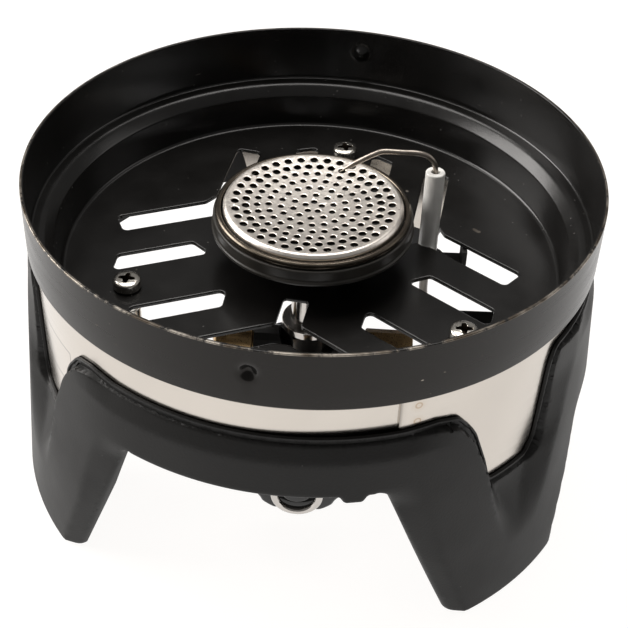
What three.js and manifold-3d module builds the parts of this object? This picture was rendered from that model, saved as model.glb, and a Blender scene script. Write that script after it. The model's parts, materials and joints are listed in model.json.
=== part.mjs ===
// Canister stove: a pressed bowl on a three-legged skirt, with a perforated burner head, a needle
// valve with a hanging wire handle, a canister connector and a piezo igniter.
// Millimetres, +Z up, feet on z = 0. Azimuths are in degrees, counter-clockwise from +X.

import * as THREE from 'three';
import { mergeVertices } from 'three/addons/utils/BufferGeometryUtils.js';
import Module from 'manifold-3d';

const wasm = await Module();
wasm.setup();

// ---------------------------------------------------------------- driving dimensions

const GAP = 0.3; // running gap between neighbouring solids
const RIM_R = 62.5; // outer radius of the bowl
const RIM_Z = 78.1; // height of the bowl's rim
const AXIS_Y = -1.9; // the burner axis, so that the footprint is centred on the origin
const SHEET = 0.8; // bowl sheet thickness
const PLATE_Z = 53.7; // top face of the bowl's floor
const LEDGE_Z = 64.2; // ledge inside the bowl, over the shell's top edge
const SCREW_AZIMUTHS = [90, 210, 330]; // plate screws, stand-offs and bracket arms
const SCREW_R = 42.5;
const LEG_AZIMUTHS = [90, 215, 325]; // centres of the skirt's legs
const DIMPLE_AZIMUTHS = [90, 270]; // inward dents that lock a pot
const VALVE_TURN = 8; // the valve is turned this much about the burner axis
const IGNITION_TURN = 10; // and the igniter with its electrode this much

const SHELL_R = 60.9; // outer radius of the steel heat shell
const SHELL_SHEET = 0.7;
const SHELL_TOP = 63.35;
const SHELL_SPAN_Z = 44.5; // lower edge between the legs
const SHELL_TAB_Z = 24; // lower edge behind the legs
const SHELL_LOW_EDGE = [[19, SHELL_TAB_Z], [24, SHELL_TAB_Z + 3], [27, 36], [29, SHELL_SPAN_Z]];

const SKIRT_IN_R = 61.3; // inner radius of the skirt
const SKIRT_LIP_R = 62.3; // outer radius of the skirt's top lip
const SKIRT_TOP = 56.2; // between the two front legs
const SKIRT_REAR_TOP = 60; // and on the other two spans
const SPAN_Z = 42.4; // lower edge of the skirt between the front legs
const REAR_SPAN_Z = 34.5; // and on the other two spans
const NOTCH_Z = 33.2; // bottom of the window over each leg
const HOLLOW_Z = 16; // where the hollow below a window runs out
const FOOT_R = 68.0; // outer radius at the feet
const SPAN_R = 64.4; // outer radius at the span's lower edge

const BRACKET_Z = 20; // underside of the base bracket
const BRACKET_T = 1.2;
const LUG_R = 55; // skirt screws

const DISC_R = 20;
const DISC_Z = 67.9; // crest of the burner disc's rim
const DISC_FACE_Z = 66.75; // middle of its dished face
// Rings of flame holes: [ring radius, count, azimuth of one hole, hole radius].
const HOLE_RINGS = [
  [1.9, 5, 24, 0.72], [4.5, 10, 22, 0.72], [7.2, 17, 3.4, 0.72], [9.9, 24, 10, 0.72],
  [12.45, 30, 0.8, 0.72], [14.95, 36, 5.5, 0.88], [17.35, 36, 0.8, 0.88],
];

const SPINDLE_Z = 18; // height of the valve spindle
const SPINDLE_END = 31; // distance of its end from the burner axis
const KNOB_Y = -34; // middle of the control knob along the spindle
const KNOB_R = 11.5;
const FLUTES = 10; // finger flutes round the knob
const BOSS_R = 3.6; // boss on its front that carries the handle
const BAIL_Y = -38; // plane of the hanging wire handle
const BAIL_HALF = 5; // half width of the handle, to the middle of its wire
const BAIL_WIRE_R = 0.9;
const CROSS_Z = 26.6; // height of the valve's cross passage

const ELECTRODE = [26.8, 7.2]; // axis of the ceramic insulator, in the igniter's turned frame
const IGNITER_Z = 28.5; // height of the igniter's axis

// ---------------------------------------------------------------- materials

const finish = (color, roughness, metalness) =>
  new THREE.MeshStandardMaterial({ color, roughness, metalness });
const enamel = finish(0x161514, 0.35, 0.3);
const stainless = finish(0xd8d0c8, 0.3, 1);
const skirtPlastic = finish(0x2e2d2b, 0.6, 0);
const blackPlastic = finish(0x181818, 0.45, 0);
const polishedSteel = finish(0xd8d0c8, 0.2, 1);
const chrome = finish(0xe0dedb, 0.08, 1);
const blackMetal = finish(0x1c1b1a, 0.5, 0.6);
const brass = finish(0xa87f45, 0.35, 1);
const ceramic = finish(0xe6e6e2, 0.45, 0);
const nickel = finish(0xc9c4bb, 0.3, 1);
const wireSteel = finish(0x8b837a, 0.35, 1);
const rubber = finish(0x121212, 0.8, 0);
const leadSheath = finish(0xd9d4c8, 0.6, 0);

// ---------------------------------------------------------------- helpers

const rad = (degrees) => (degrees * Math.PI) / 180;
const clamp = (value, low, high) => Math.min(high, Math.max(low, value));
const blend = (value, low, high) => THREE.MathUtils.smoothstep(value, low, high);

// Piecewise-linear curve through [x, y] pairs with rising x.
function follow(pairs, x) {
  if (x <= pairs[0][0]) return pairs[0][1];
  for (let i = 1; i < pairs.length; i += 1) {
    const [x1, y1] = pairs[i];
    const [x0, y0] = pairs[i - 1];
    if (x <= x1) return y0 + ((y1 - y0) * (x - x0)) / (x1 - x0);
  }
  return pairs[pairs.length - 1][1];
}

// Turn every face outwards if the closed surface came out inside out.
function outward(geometry) {
  const p = geometry.attributes.position;
  const index = geometry.index ? geometry.index.array : [...Array(p.count).keys()];
  const a = new THREE.Vector3();
  const b = new THREE.Vector3();
  const c = new THREE.Vector3();
  let volume = 0;
  for (let i = 0; i < index.length; i += 3) {
    a.fromBufferAttribute(p, index[i]);
    b.fromBufferAttribute(p, index[i + 1]);
    c.fromBufferAttribute(p, index[i + 2]);
    volume += a.dot(b.cross(c));
  }
  if (volume >= 0) return geometry;
  const flipped = [];
  for (let i = 0; i < index.length; i += 3) flipped.push(index[i], index[i + 2], index[i + 1]);
  geometry.setIndex(flipped);
  return geometry;
}

// Revolve a profile of [radius, z] points about Z. Profiles that don't meet the axis are closed.
function lathe(profile, segments = 36) {
  const points = profile.map(([r, z]) => new THREE.Vector2(r, z));
  if (profile[0][0] > 0) points.push(points[0].clone());
  return outward(new THREE.LatheGeometry(points, segments).rotateX(Math.PI / 2));
}

function cylinder(radius, z0, z1, segments = 24) {
  return new THREE.CylinderGeometry(radius, radius, z1 - z0, segments)
    .rotateX(Math.PI / 2)
    .translate(0, 0, (z0 + z1) / 2);
}

function tube(rOuter, rInner, z0, z1, segments = 24) {
  return lathe([[rInner, z0], [rOuter, z0], [rOuter, z1], [rInner, z1]], segments);
}

function box(x0, x1, y0, y1, z0, z1) {
  return new THREE.BoxGeometry(x1 - x0, y1 - y0, z1 - z0).translate(
    (x0 + x1) / 2, (y0 + y1) / 2, (z0 + z1) / 2,
  );
}

// Lay a shape that was made along Z so that it points along -Y or +X, at height z.
const alongFront = (geometry, z) => geometry.rotateX(Math.PI / 2).translate(0, 0, z);
const alongSide = (geometry, z) => geometry.rotateY(Math.PI / 2).translate(0, 0, z);

// A round wire or lead swept along a smooth curve or through straight legs.
function sweep(curve, radius, sides, steps) {
  const section = new THREE.Shape();
  for (let i = 0; i < sides; i += 1) {
    const a = (i / sides) * 2 * Math.PI;
    section[i ? 'lineTo' : 'moveTo'](radius * Math.cos(a), radius * Math.sin(a));
  }
  return outward(new THREE.ExtrudeGeometry(section, { steps, extrudePath: curve }));
}

function solid(geometry) {
  const bare = geometry.clone();
  bare.deleteAttribute('normal');
  bare.deleteAttribute('uv');
  const merged = mergeVertices(bare, 1e-4);
  const mesh = new wasm.Mesh({
    numProp: 3,
    vertProperties: new Float32Array(merged.attributes.position.array),
    triVerts: new Uint32Array(merged.index.array),
  });
  return new wasm.Manifold(mesh);
}

function geometryOf(manifold) {
  const { vertProperties, triVerts } = manifold.getMesh();
  const geometry = new THREE.BufferGeometry();
  geometry.setAttribute('position', new THREE.BufferAttribute(vertProperties, 3));
  geometry.setIndex(new THREE.BufferAttribute(triVerts, 1));
  return geometry;
}

function cut(geometry, cutters) {
  return geometryOf(cutters.reduce((body, cutter) => body.subtract(solid(cutter)), solid(geometry)));
}

function join(geometries) {
  return geometryOf(geometries.slice(1).reduce((body, g) => body.add(solid(g)), solid(geometries[0])));
}

const stove = new THREE.Group();
stove.position.y = AXIS_Y;
const valve = new THREE.Group();
valve.rotation.z = rad(VALVE_TURN);
const ignition = new THREE.Group();
ignition.rotation.z = rad(IGNITION_TURN);
stove.add(valve, ignition);

function put(parent, name, geometry, material) {
  const mesh = new THREE.Mesh(geometry, material);
  mesh.name = name;
  parent.add(mesh);
  return mesh;
}

// ---------------------------------------------------------------- bowl

// One slot outline pair beside a screw: straight, with slanted ends.
function straightSlot(side) {
  const shape = new THREE.Shape();
  shape.moveTo(22.0, 6.9 * side);
  shape.lineTo(44.4, 6.9 * side);
  shape.lineTo(44.6, 7.9 * side);
  shape.lineTo(42.4, 11.6 * side);
  shape.lineTo(41.4, 12.2 * side);
  shape.lineTo(25.2, 12.2 * side);
  shape.lineTo(24.2, 11.8 * side);
  shape.lineTo(21.6, 7.6 * side);
  return shape;
}

// The Y-shaped slot between two screws: a stem and two arms parallel to the screws' axes.
function forkedSlot() {
  const half = [
    [16.9, 2.75], [25.0, 2.75], [26.0, 3.5], [37.0, 22.6], [37.8, 23.1], [38.8, 23.0],
    [42.2, 21.0], [42.6, 20.1], [42.2, 19.2], [32.6, 2.4],
  ];
  const shape = new THREE.Shape();
  half.forEach(([u, v], i) => shape[i ? 'lineTo' : 'moveTo'](u, v));
  [...half].reverse().forEach(([u, v]) => shape.lineTo(u, -v));
  return shape;
}

function floorCutter(shape, azimuth) {
  return new THREE.ExtrudeGeometry(shape, { depth: 3, bevelEnabled: false })
    .translate(0, 0, PLATE_Z - 2)
    .rotateZ(rad(azimuth));
}

function burnerBowl() {
  const outer = [
    [RIM_R, RIM_Z], [RIM_R, 64.8], [62.0, 63.9], [61.5, 63.7], [59.4, 63.7], [57.6, 61.8],
    [57.0, PLATE_Z - SHEET],
  ];
  const inner = [
    [9, PLATE_Z - SHEET], [9, PLATE_Z], [55.9, PLATE_Z], [56.7, 61.6], [57.1, 62.1], [59.0, 64.0],
    [59.6, LEDGE_Z], [RIM_R - SHEET, LEDGE_Z], [RIM_R - SHEET, RIM_Z],
  ];
  const cutters = [];
  for (const azimuth of SCREW_AZIMUTHS) {
    cutters.push(floorCutter(straightSlot(1), azimuth));
    cutters.push(floorCutter(straightSlot(-1), azimuth));
    cutters.push(floorCutter(forkedSlot(), azimuth + 60));
    const hole = cylinder(1.8, PLATE_Z - 2, PLATE_Z + 1, 12).translate(SCREW_R, 0, 0);
    cutters.push(hole.rotateZ(rad(azimuth)));
  }
  const insulatorHole = cylinder(2.7, PLATE_Z - 2, PLATE_Z + 1, 16).translate(...ELECTRODE, 0);
  cutters.push(insulatorHole.rotateZ(rad(IGNITION_TURN)));
  for (const azimuth of DIMPLE_AZIMUTHS) {
    const dent = new THREE.SphereGeometry(3, 10, 6).translate(RIM_R + 1.8, 0, 72.3);
    cutters.push(dent.rotateZ(rad(azimuth)));
  }
  const bumps = DIMPLE_AZIMUTHS.map((azimuth) =>
    new THREE.SphereGeometry(2.2, 10, 6).translate(RIM_R - 0.7, 0, 72.3).rotateZ(rad(azimuth)));
  return cut(join([lathe([...outer, ...inner], 60), ...bumps]), cutters);
}

// ---------------------------------------------------------------- skirt and shell

// Degrees between an azimuth and the centre of the nearest leg.
function offLeg(azimuth) {
  return Math.min(...LEG_AZIMUTHS.map((leg) => Math.abs(((azimuth - leg + 540) % 360) - 180)));
}

const FRONT_LEGS = [LEG_AZIMUTHS[1], LEG_AZIMUTHS[2]];
const isFront = (azimuth) => azimuth > FRONT_LEGS[0] && azimuth < FRONT_LEGS[1];

// Edge of a window from its foot to its shoulder: [degrees off the leg's centre, height].
const FRONT_ARM = [
  [5.8, NOTCH_Z], [8.0, 39.7], [9.6, 44.2], [11.4, 49.3], [13, 52.1], [15.4, 55.2], [18, 56.5],
  [20.5, 56.8], [27, SKIRT_TOP],
];
const REAR_ARM = [
  [4.6, NOTCH_Z], [6.3, 35.4], [7.0, 39.5], [7.6, 48], [8.1, 55.5], [8.8, 58.6], [10.4, SKIRT_REAR_TOP],
];

// Crease between the outer cone and the hollow that surrounds a window: [height, degrees].
const FRONT_CREASE = [
  [HOLLOW_Z, 4.5], [31.5, 8], [38, 9.4], [45, 11.3], [51, 13.6], [55, 17], [57, 20.5],
];
const REAR_CREASE = [[HOLLOW_Z, 5.3], [24.5, 8], [34, 10.6], [40, 13], [47, 15], [52, 18], [60, 19]];
const swapped = (pairs) => pairs.map(([x, y]) => [y, x]);

const skirtInner = (z) => SKIRT_IN_R + (3.1 * clamp(26 - z, 0, 26)) / 26;
const skirtCone = (z) => SPAN_R + ((FOOT_R - SPAN_R) * (SPAN_Z - z)) / SPAN_Z;
const armOuterCrease = (z) => follow([[0, 12], [7.2, 14.2], [18.7, 17.8], [29, 19.8], [42, 24]], z);
const legEdge = (z) => 15.4 + z / 2.86;

// Top edge: level between the legs, a shoulder on each arm, and a window over each leg.
const skirtTop = (a, azimuth) => follow(isFront(azimuth) ? FRONT_ARM : REAR_ARM, a);

// Lower edge: level between the legs, with straight slanted leg sides and a stop under the front.
function skirtBottom(a, azimuth) {
  const level = isFront(azimuth) ? SPAN_Z : REAR_SPAN_Z;
  const stop = 1.6 * clamp(2 - Math.abs(azimuth - 289) / 1.5, 0, 1);
  return clamp((a - 15.4) * 2.86, 0, level) - (a > 31 ? stop : 0);
}

// How far the hollow round a window sinks below the cone: all of it at the window's edge, none at
// the crease.
function hollowDepth(a, z, azimuth) {
  const crease = follow(isFront(azimuth) ? FRONT_CREASE : REAR_CREASE, z);
  const arm = isFront(azimuth) ? FRONT_ARM.slice(0, 6) : REAR_ARM.slice(0, 6);
  const edge = follow([[HOLLOW_Z, 0], ...swapped(arm)], z);
  const whole = (skirtCone(z) - SKIRT_LIP_R - 0.2) * clamp((z - HOLLOW_Z) / (NOTCH_Z - HOLLOW_Z), 0, 1);
  return whole * clamp((crease - a) / Math.max(crease - edge, 0.5), 0, 1);
}

// Outer radius: a cone with a bevelled top edge, bevelled leg sides and a hollow round each window.
function skirtOuter(a, z, azimuth) {
  let r = skirtCone(z);
  const bevel = skirtTop(a, azimuth) - 5.3;
  r -= blend(a, 20, 26) * clamp((z - bevel) * 0.36, 0, 2);
  const crease = armOuterCrease(z);
  if (a > crease && a < 31) {
    const level = isFront(azimuth) ? SPAN_Z : REAR_SPAN_Z;
    const sideDepth = follow([[0, 2.7], [level - 6.4, 1.8], [level, 0]], z);
    r -= sideDepth * clamp((a - crease) / (legEdge(z) - crease), 0, 1);
  }
  return Math.max(r - hollowDepth(a, z, azimuth), SKIRT_LIP_R);
}

// A closed band made of one closed loop of [radius, z] points at each azimuth.
function band(azimuths, loopAt) {
  const positions = [];
  const index = [];
  const loops = azimuths.map(loopAt);
  const n = loops[0].length;
  loops.forEach((loop, i) => {
    const a = rad(azimuths[i]);
    for (const [r, z] of loop) positions.push(r * Math.cos(a), r * Math.sin(a), z);
  });
  for (let i = 0; i < loops.length; i += 1) {
    const next = ((i + 1) % loops.length) * n;
    for (let j = 0; j < n; j += 1) {
      const k = (j + 1) % n;
      index.push(i * n + j, next + j, next + k, i * n + j, next + k, i * n + k);
    }
  }
  const geometry = new THREE.BufferGeometry();
  geometry.setAttribute('position', new THREE.Float32BufferAttribute(positions, 3));
  geometry.setIndex(index);
  return outward(geometry);
}

// Azimuths with a column at every corner of the legs and even steps along the spans.
function columns(offsets, spanStep) {
  const list = [];
  LEG_AZIMUTHS.forEach((leg, i) => {
    const nextLeg = LEG_AZIMUTHS[(i + 1) % 3] + (i === 2 ? 360 : 0);
    offsets.forEach((offset) => list.push(leg - offset));
    offsets.filter((offset) => offset > 0).forEach((offset) => list.push(leg + offset));
    const edge = offsets[offsets.length - 1];
    const count = Math.round((nextLeg - leg - 2 * edge) / spanStep);
    for (let k = 1; k < count; k += 1) {
      list.push(leg + edge + ((nextLeg - leg - 2 * edge) * k) / count);
    }
  });
  return [...new Set(list.map((a) => Math.round(((a + 360) % 360) * 1000) / 1000))].sort((a, b) => a - b);
}

function legSkirt() {
  const offsets = [0, 4.6, 5.9, 6.8, 8, 9.6, 11.4, 13, 15.4, 18, 20.5, 23, 27.3, 30.2, 31.5];
  const stops = [286, 287.5, 290.5, 292];
  const azimuths = [...columns(offsets, 8), ...stops].sort((a, b) => a - b);
  const fall = [0.1, 0.28, 0.46, 0.64, 0.82, 1];
  const wall = band(azimuths, (azimuth) => {
    const a = offLeg(azimuth);
    const top = skirtTop(a, azimuth);
    const bottom = skirtBottom(a, azimuth);
    const loop = [[skirtInner(top), top], [Math.max(SKIRT_LIP_R, skirtInner(top) + 1), top]];
    for (const t of fall) {
      const z = top + (bottom - top) * t;
      loop.push([skirtOuter(a, z, azimuth), z]);
    }
    loop.push([skirtInner(bottom), bottom]);
    const bend = clamp(26, bottom + 0.3 * (top - bottom), top - 0.3 * (top - bottom));
    loop.push([skirtInner(bend), bend]);
    return loop;
  });
  const lugs = SCREW_AZIMUTHS.map((azimuth) => box(50.5, 64.2, -6, 6, 14.5, 19.7).rotateZ(rad(azimuth)));
  const holes = SCREW_AZIMUTHS.map((azimuth) =>
    cylinder(1.7, 13, 21, 12).translate(LUG_R, 0, 0).rotateZ(rad(azimuth)));
  return cut(join([wall, ...lugs]), holes);
}

function heatShell() {
  return band(columns([0, 7, 13, 19, 24, 27, 29, 34], 5), (azimuth) => {
    const bottom = follow(SHELL_LOW_EDGE, offLeg(azimuth));
    const inside = SHELL_R - SHELL_SHEET;
    return [[inside, SHELL_TOP], [SHELL_R, SHELL_TOP], [SHELL_R, bottom], [inside, bottom]];
  });
}

// ---------------------------------------------------------------- bracket and fasteners

const BRACKET_TOP = BRACKET_Z + BRACKET_T;

function baseBracket() {
  const pieces = [cylinder(16, BRACKET_Z, BRACKET_TOP, 36)];
  for (const azimuth of SCREW_AZIMUTHS) {
    pieces.push(box(10, 58, -6.5, 6.5, BRACKET_Z, BRACKET_TOP).rotateZ(rad(azimuth)));
  }
  pieces.push(box(10, 50, -6, 6, BRACKET_Z, BRACKET_TOP).rotateZ(rad(IGNITION_TURN)));
  const cutters = [cylinder(7.9, 18, 23, 24)];
  cutters.push(box(-6.2, 6.2, -20, 0, 18, 23).rotateZ(rad(VALVE_TURN)));
  for (const side of [-1, 1]) {
    cutters.push(cylinder(1.5, 18, 23, 12).translate(side * 10.5, 0, 0).rotateZ(rad(VALVE_TURN)));
  }
  for (const azimuth of SCREW_AZIMUTHS) {
    for (const r of [SCREW_R, LUG_R]) {
      cutters.push(cylinder(1.8, 18, 23, 12).translate(r, 0, 0).rotateZ(rad(azimuth)));
    }
  }
  return cut(join(pieces), cutters);
}

// Pan-head screw, its head resting on z = 0 and its shank pointing down.
function panScrew(headR, headH, shankR, length) {
  const profile = [
    [0, -length], [shankR, -length], [shankR, 0], [headR, 0], [headR, headH * 0.62],
    [headR * 0.7, headH], [0, headH],
  ];
  return lathe(profile, 12);
}

// The same screw with a cross recess in its head.
function crossScrew(headR, headH, shankR, length) {
  const arm = headR * 0.55;
  const width = headR * 0.14;
  const deep = headH * 0.45;
  return cut(panScrew(headR, headH, shankR, length), [
    box(-arm, arm, -width, width, deep, headH + 1),
    box(-width, width, -arm, arm, deep, headH + 1),
  ]);
}

function fasteners() {
  SCREW_AZIMUTHS.forEach((azimuth, i) => {
    const n = i + 1;
    const arm = new THREE.Group();
    arm.rotation.z = rad(azimuth);
    stove.add(arm);
    const top = put(arm, `plate_screw_${n}`, crossScrew(3.05, 2.4, 1.45, 36.5), nickel);
    top.position.set(SCREW_R, 0, PLATE_Z + GAP);
    const standoff = tube(3.1, 1.75, BRACKET_TOP + GAP, PLATE_Z - SHEET - GAP, 18);
    put(arm, `standoff_${n}`, standoff, nickel).position.x = SCREW_R;
    const nut = cut(cylinder(3.2, 17.2, BRACKET_Z - GAP, 6), [cylinder(1.75, 16, 21, 12)]);
    put(arm, `bracket_nut_${n}`, nut, nickel).position.x = SCREW_R;
    const skirtScrew = put(arm, `skirt_screw_${n}`, panScrew(2.7, 2, 1.4, 7.8), nickel);
    skirtScrew.position.set(LUG_R, 0, 14.2);
    skirtScrew.rotation.x = Math.PI;
  });
}

// ---------------------------------------------------------------- burner head

// Dished plate of pressed steel with a raised rim that turns down over its edge.
function burnerDisc() {
  const under = DISC_FACE_Z - 0.7;
  const skirtZ = DISC_Z - 2.2;
  const profile = [
    [0, under], [12, under + 0.5], [19.3, DISC_Z - 0.9], [19.3, skirtZ], [DISC_R, skirtZ],
    [DISC_R, DISC_Z - 0.7], [DISC_R - 0.4, DISC_Z - 0.1], [DISC_R - 1.2, DISC_Z],
    [12, DISC_FACE_Z + 0.5], [0, DISC_FACE_Z],
  ];
  const holes = [];
  for (const [radius, count, azimuth, holeR] of HOLE_RINGS) {
    for (let i = 0; i < count; i += 1) {
      const hole = cylinder(holeR, DISC_Z - 3, DISC_Z + 1, 4).translate(radius, 0, 0);
      holes.push(hole.rotateZ(rad(azimuth + (360 * i) / count)));
    }
  }
  return cut(lathe(profile, 40), holes);
}

function burnerHead() {
  put(stove, 'burner_disc', burnerDisc(), polishedSteel);
  const ring = [
    [20.4, 65.8], [21.4, 65.8], [21.7, 66.1], [21.7, 66.5], [21.2, 66.9], [20.7, 66.9], [20.4, 66.6],
  ];
  put(stove, 'burner_ring', lathe(ring, 40), polishedSteel);
  const cup = [
    [22.0, 65.5], [22.2, 65.2], [22.2, 62.4], [21.5, 61.7], [19.5, 60.9], [15.8, 59.0], [6.6, 56.2],
    [6.4, 46], [4.7, 46], [4.7, 57.2], [15.2, 60.0], [19.4, 62.0], [21.0, 62.8], [21.0, 65.5],
  ];
  put(stove, 'burner_cup', lathe(cup, 36), blackMetal);
  const tubeProfile = [
    [3.4, 33.1], [6.5, 33.1], [6.5, 35.1], [6.2, 35.4], [4.3, 35.4], [4.3, 55], [3.4, 55],
  ];
  const ports = [0, 90, 180, 270].map((azimuth) =>
    alongSide(cylinder(1, 2, 6, 8), 37.4).rotateZ(rad(azimuth + 45)));
  put(valve, 'mixing_tube', cut(lathe(tubeProfile, 24), ports), chrome);
}

// ---------------------------------------------------------------- valve

const JET_SEAT_Z = 27.9;
const HEX_R = 6.7; // corner radius of the hexagon that holds the jet

function valveBody() {
  const crossbar = alongSide(cylinder(4.4, -13, 13, 16), CROSS_Z);
  const column = cylinder(7.4, 14.5, JET_SEAT_Z - GAP, 24);
  const boss = alongFront(cylinder(5.2, 0, 19, 18), SPINDLE_Z);
  const feet = [-1, 1].map((side) => cylinder(2.4, BRACKET_TOP + GAP, CROSS_Z, 10).translate(side * 10.5, 0, 0));
  const cutters = [
    cylinder(10.4, 10, 14.5, 24),
    cylinder(HEX_R + 0.5, JET_SEAT_Z - GAP, 33, 20),
    cylinder(1.3, 13, 30, 8),
    alongFront(cylinder(2.5, 4, 20, 12), SPINDLE_Z),
    alongFront(cylinder(4.0, 15.5, 20, 16), SPINDLE_Z),
    alongSide(cylinder(2.9, 7.9, 14, 12), CROSS_Z),
    alongSide(cylinder(2.9, -14, -7.9, 12), CROSS_Z),
    cylinder(2.1, 26, JET_SEAT_Z + 1, 12),
  ];
  for (const side of [-1, 1]) {
    cutters.push(cylinder(1.2, 20, 24.6, 8).translate(side * 10.5, 0, 0));
  }
  return cut(join([column, crossbar, boss, ...feet]), cutters);
}

function jetHolder() {
  const hexagon = cylinder(HEX_R, JET_SEAT_Z, 32.8, 6).rotateZ(Math.PI / 2);
  return cut(hexagon, [cylinder(2.1, 27, 30.4, 12), cylinder(3.3, 31.6, 34, 12), cylinder(1.6, 30, 32, 8)]);
}

function reliefCap() {
  const profile = [
    [0, 8.3], [2.6, 8.3], [2.6, 13 + GAP], [4.5, 13 + GAP], [4.5, 20], [4.1, 21.6],
    [3.0, 22.6], [1.4, 23.1], [0, 23.1],
  ];
  return lathe(profile, 18).rotateY(-Math.PI / 2).translate(0, 0, CROSS_Z);
}

function passagePlug() {
  const thread = cylinder(2.6, 8.3, 14, 16);
  const hexagon = cylinder(5.0, 13 + GAP, 24.8, 6);
  return alongSide(join([thread, hexagon]), CROSS_Z);
}

function spindle() {
  const profile = [
    [0, 4.4], [0.6, 5.6], [2.2, 6.6], [2.2, 14], [1.5, 14.4], [1.5, 17.4], [1.9, 17.8],
    [1.9, SPINDLE_END], [0, SPINDLE_END],
  ];
  return alongFront(lathe(profile, 14), SPINDLE_Z);
}

// Black knob with finger flutes, a blind bore for the spindle and a boss that carries the handle.
function controlKnob() {
  const back = -(KNOB_Y + 2);
  const front = -(KNOB_Y - 2);
  const profile = [
    [0, back], [KNOB_R - 0.7, back], [KNOB_R, back + 0.7], [KNOB_R, front - 0.7],
    [KNOB_R - 0.7, front], [BOSS_R, front], [BOSS_R, front + 3.6], [BOSS_R - 0.4, front + 4],
    [0, front + 4],
  ];
  const neck = cylinder(4, back - 5, back + 1, 16);
  const flutes = [];
  for (let i = 0; i < FLUTES; i += 1) {
    const flute = cylinder(1.6, back - 1, front + 1, 6).translate(KNOB_R + 0.9, 0, 0);
    flutes.push(flute.rotateZ((2 * Math.PI * i) / FLUTES));
  }
  const bore = cylinder(2.2, back - 7, SPINDLE_END + GAP, 16);
  const pivot = alongSide(cylinder(1.35, -6, 6, 12), 0).translate(0, 0, -BAIL_Y);
  return alongFront(cut(join([lathe(profile, 30), neck]), [...flutes, bore, pivot]), SPINDLE_Z);
}

// U of round wire whose ends turn inwards and pivot in the knob's boss.
function wireHandle() {
  const bendR = 1.4;
  const half = BAIL_HALF;
  const low = SPINDLE_Z - 3.2;
  const at = (x, z) => new THREE.Vector3(x, BAIL_Y, z);
  const path = new THREE.CurvePath();
  const corner = (x0, z0, x1, z1, x2, z2) =>
    path.add(new THREE.QuadraticBezierCurve3(at(x0, z0), at(x1, z1), at(x2, z2)));
  const run = (x0, z0, x1, z1) => path.add(new THREE.LineCurve3(at(x0, z0), at(x1, z1)));
  run(-2.4, SPINDLE_Z, -half + bendR, SPINDLE_Z);
  corner(-half + bendR, SPINDLE_Z, -half, SPINDLE_Z, -half, SPINDLE_Z - bendR);
  run(-half, SPINDLE_Z - bendR, -half, low);
  const arc = [];
  for (let i = 0; i <= 12; i += 1) {
    const a = Math.PI + (Math.PI * i) / 12;
    arc.push(at(half * Math.cos(a), low + half * Math.sin(a)));
  }
  path.add(new THREE.CatmullRomCurve3(arc));
  run(half, low, half, SPINDLE_Z - bendR);
  corner(half, SPINDLE_Z - bendR, half, SPINDLE_Z, half - bendR, SPINDLE_Z);
  run(half - bendR, SPINDLE_Z, 2.4, SPINDLE_Z);
  return sweep(path, BAIL_WIRE_R, 8, 36);
}

function valveParts() {
  put(valve, 'valve_body', valveBody(), blackMetal);
  put(valve, 'jet_holder', jetHolder(), chrome);
  const jet = lathe([[0.25, 28.3], [1.8, 28.3], [1.8, 30.1], [1.2, 30.1], [1.2, 32.2], [0.25, 32.2]], 16);
  put(valve, 'gas_jet', jet, brass);
  put(valve, 'relief_cap', reliefCap(), brass);
  put(valve, 'passage_plug', passagePlug(), brass);
  put(valve, 'spindle_seal', alongFront(tube(3.7, 1.8, 15.8, 17.2, 18), SPINDLE_Z), rubber);
  const gland = cut(cylinder(6.2, 19 + GAP, 25, 6), [cylinder(2.2, 18, 26, 16)]);
  put(valve, 'gland_nut', alongFront(gland, SPINDLE_Z), brass);
  put(valve, 'valve_spindle', spindle(), brass);
  put(valve, 'control_knob', controlKnob(), blackPlastic);
  put(valve, 'wire_handle', wireHandle(), chrome);
  const connector = [
    [5.6, 8], [9.4, 8], [10, 8.6], [10, 13.6], [9.4, 14.2], [1.3, 14.2], [1.3, 13.6], [5.6, 13.6],
  ];
  put(valve, 'canister_connector', lathe(connector, 28), brass);
  put(valve, 'connector_seal', tube(5.2, 3.2, 12.2, 13.3, 24), rubber);
  put(valve, 'depressor_pin', cylinder(0.9, 12.2, 17, 12), brass);
  [-1, 1].forEach((side, i) => {
    const screw = put(valve, `valve_screw_${i + 1}`, panScrew(2.3, 1.6, 0.9, 4.2), nickel);
    screw.position.set(side * 10.5, 0, BRACKET_Z - GAP);
    screw.rotation.x = Math.PI;
  });
}

// ---------------------------------------------------------------- igniter

function igniterBody() {
  const bores = [alongSide(cylinder(4.3, 41.5, 60, 20), IGNITER_Z), alongSide(cylinder(2.4, 36, 42, 16), IGNITER_Z)];
  const half = 5;
  return cut(box(34.8, 54, -6.5, 6.5, IGNITER_Z - half, IGNITER_Z + half), bores);
}

function igniterButton() {
  const profile = [
    [0, 54], [3.2, 54], [3.2, 46], [3.95, 46], [3.95, 57.9], [4.9, 57.9], [4.9, 63.6],
    [4.3, 64.4], [0, 64.6],
  ];
  return alongSide(lathe(profile, 18), IGNITER_Z);
}

function igniterSpring() {
  const turns = 5;
  const points = [];
  for (let i = 0; i <= turns * 8; i += 1) {
    const a = (i / 8) * 2 * Math.PI;
    points.push(new THREE.Vector3(42.4 + (7.4 * i) / (turns * 8), 2.3 * Math.cos(a), IGNITER_Z + 2.3 * Math.sin(a)));
  }
  return sweep(new THREE.CatmullRomCurve3(points), 0.35, 5, turns * 8);
}

function igniterHolder() {
  const under = IGNITER_Z - 5 - GAP;
  const pad = box(38, 50, -5.5, 5.5, under - 1, under);
  const web = box(43, 44, -5.5, 5.5, BRACKET_TOP + GAP, under - 0.5);
  const foot = box(38, 44, -5.5, 5.5, BRACKET_TOP + GAP, BRACKET_TOP + GAP + 1);
  return join([pad, web, foot]);
}

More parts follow.
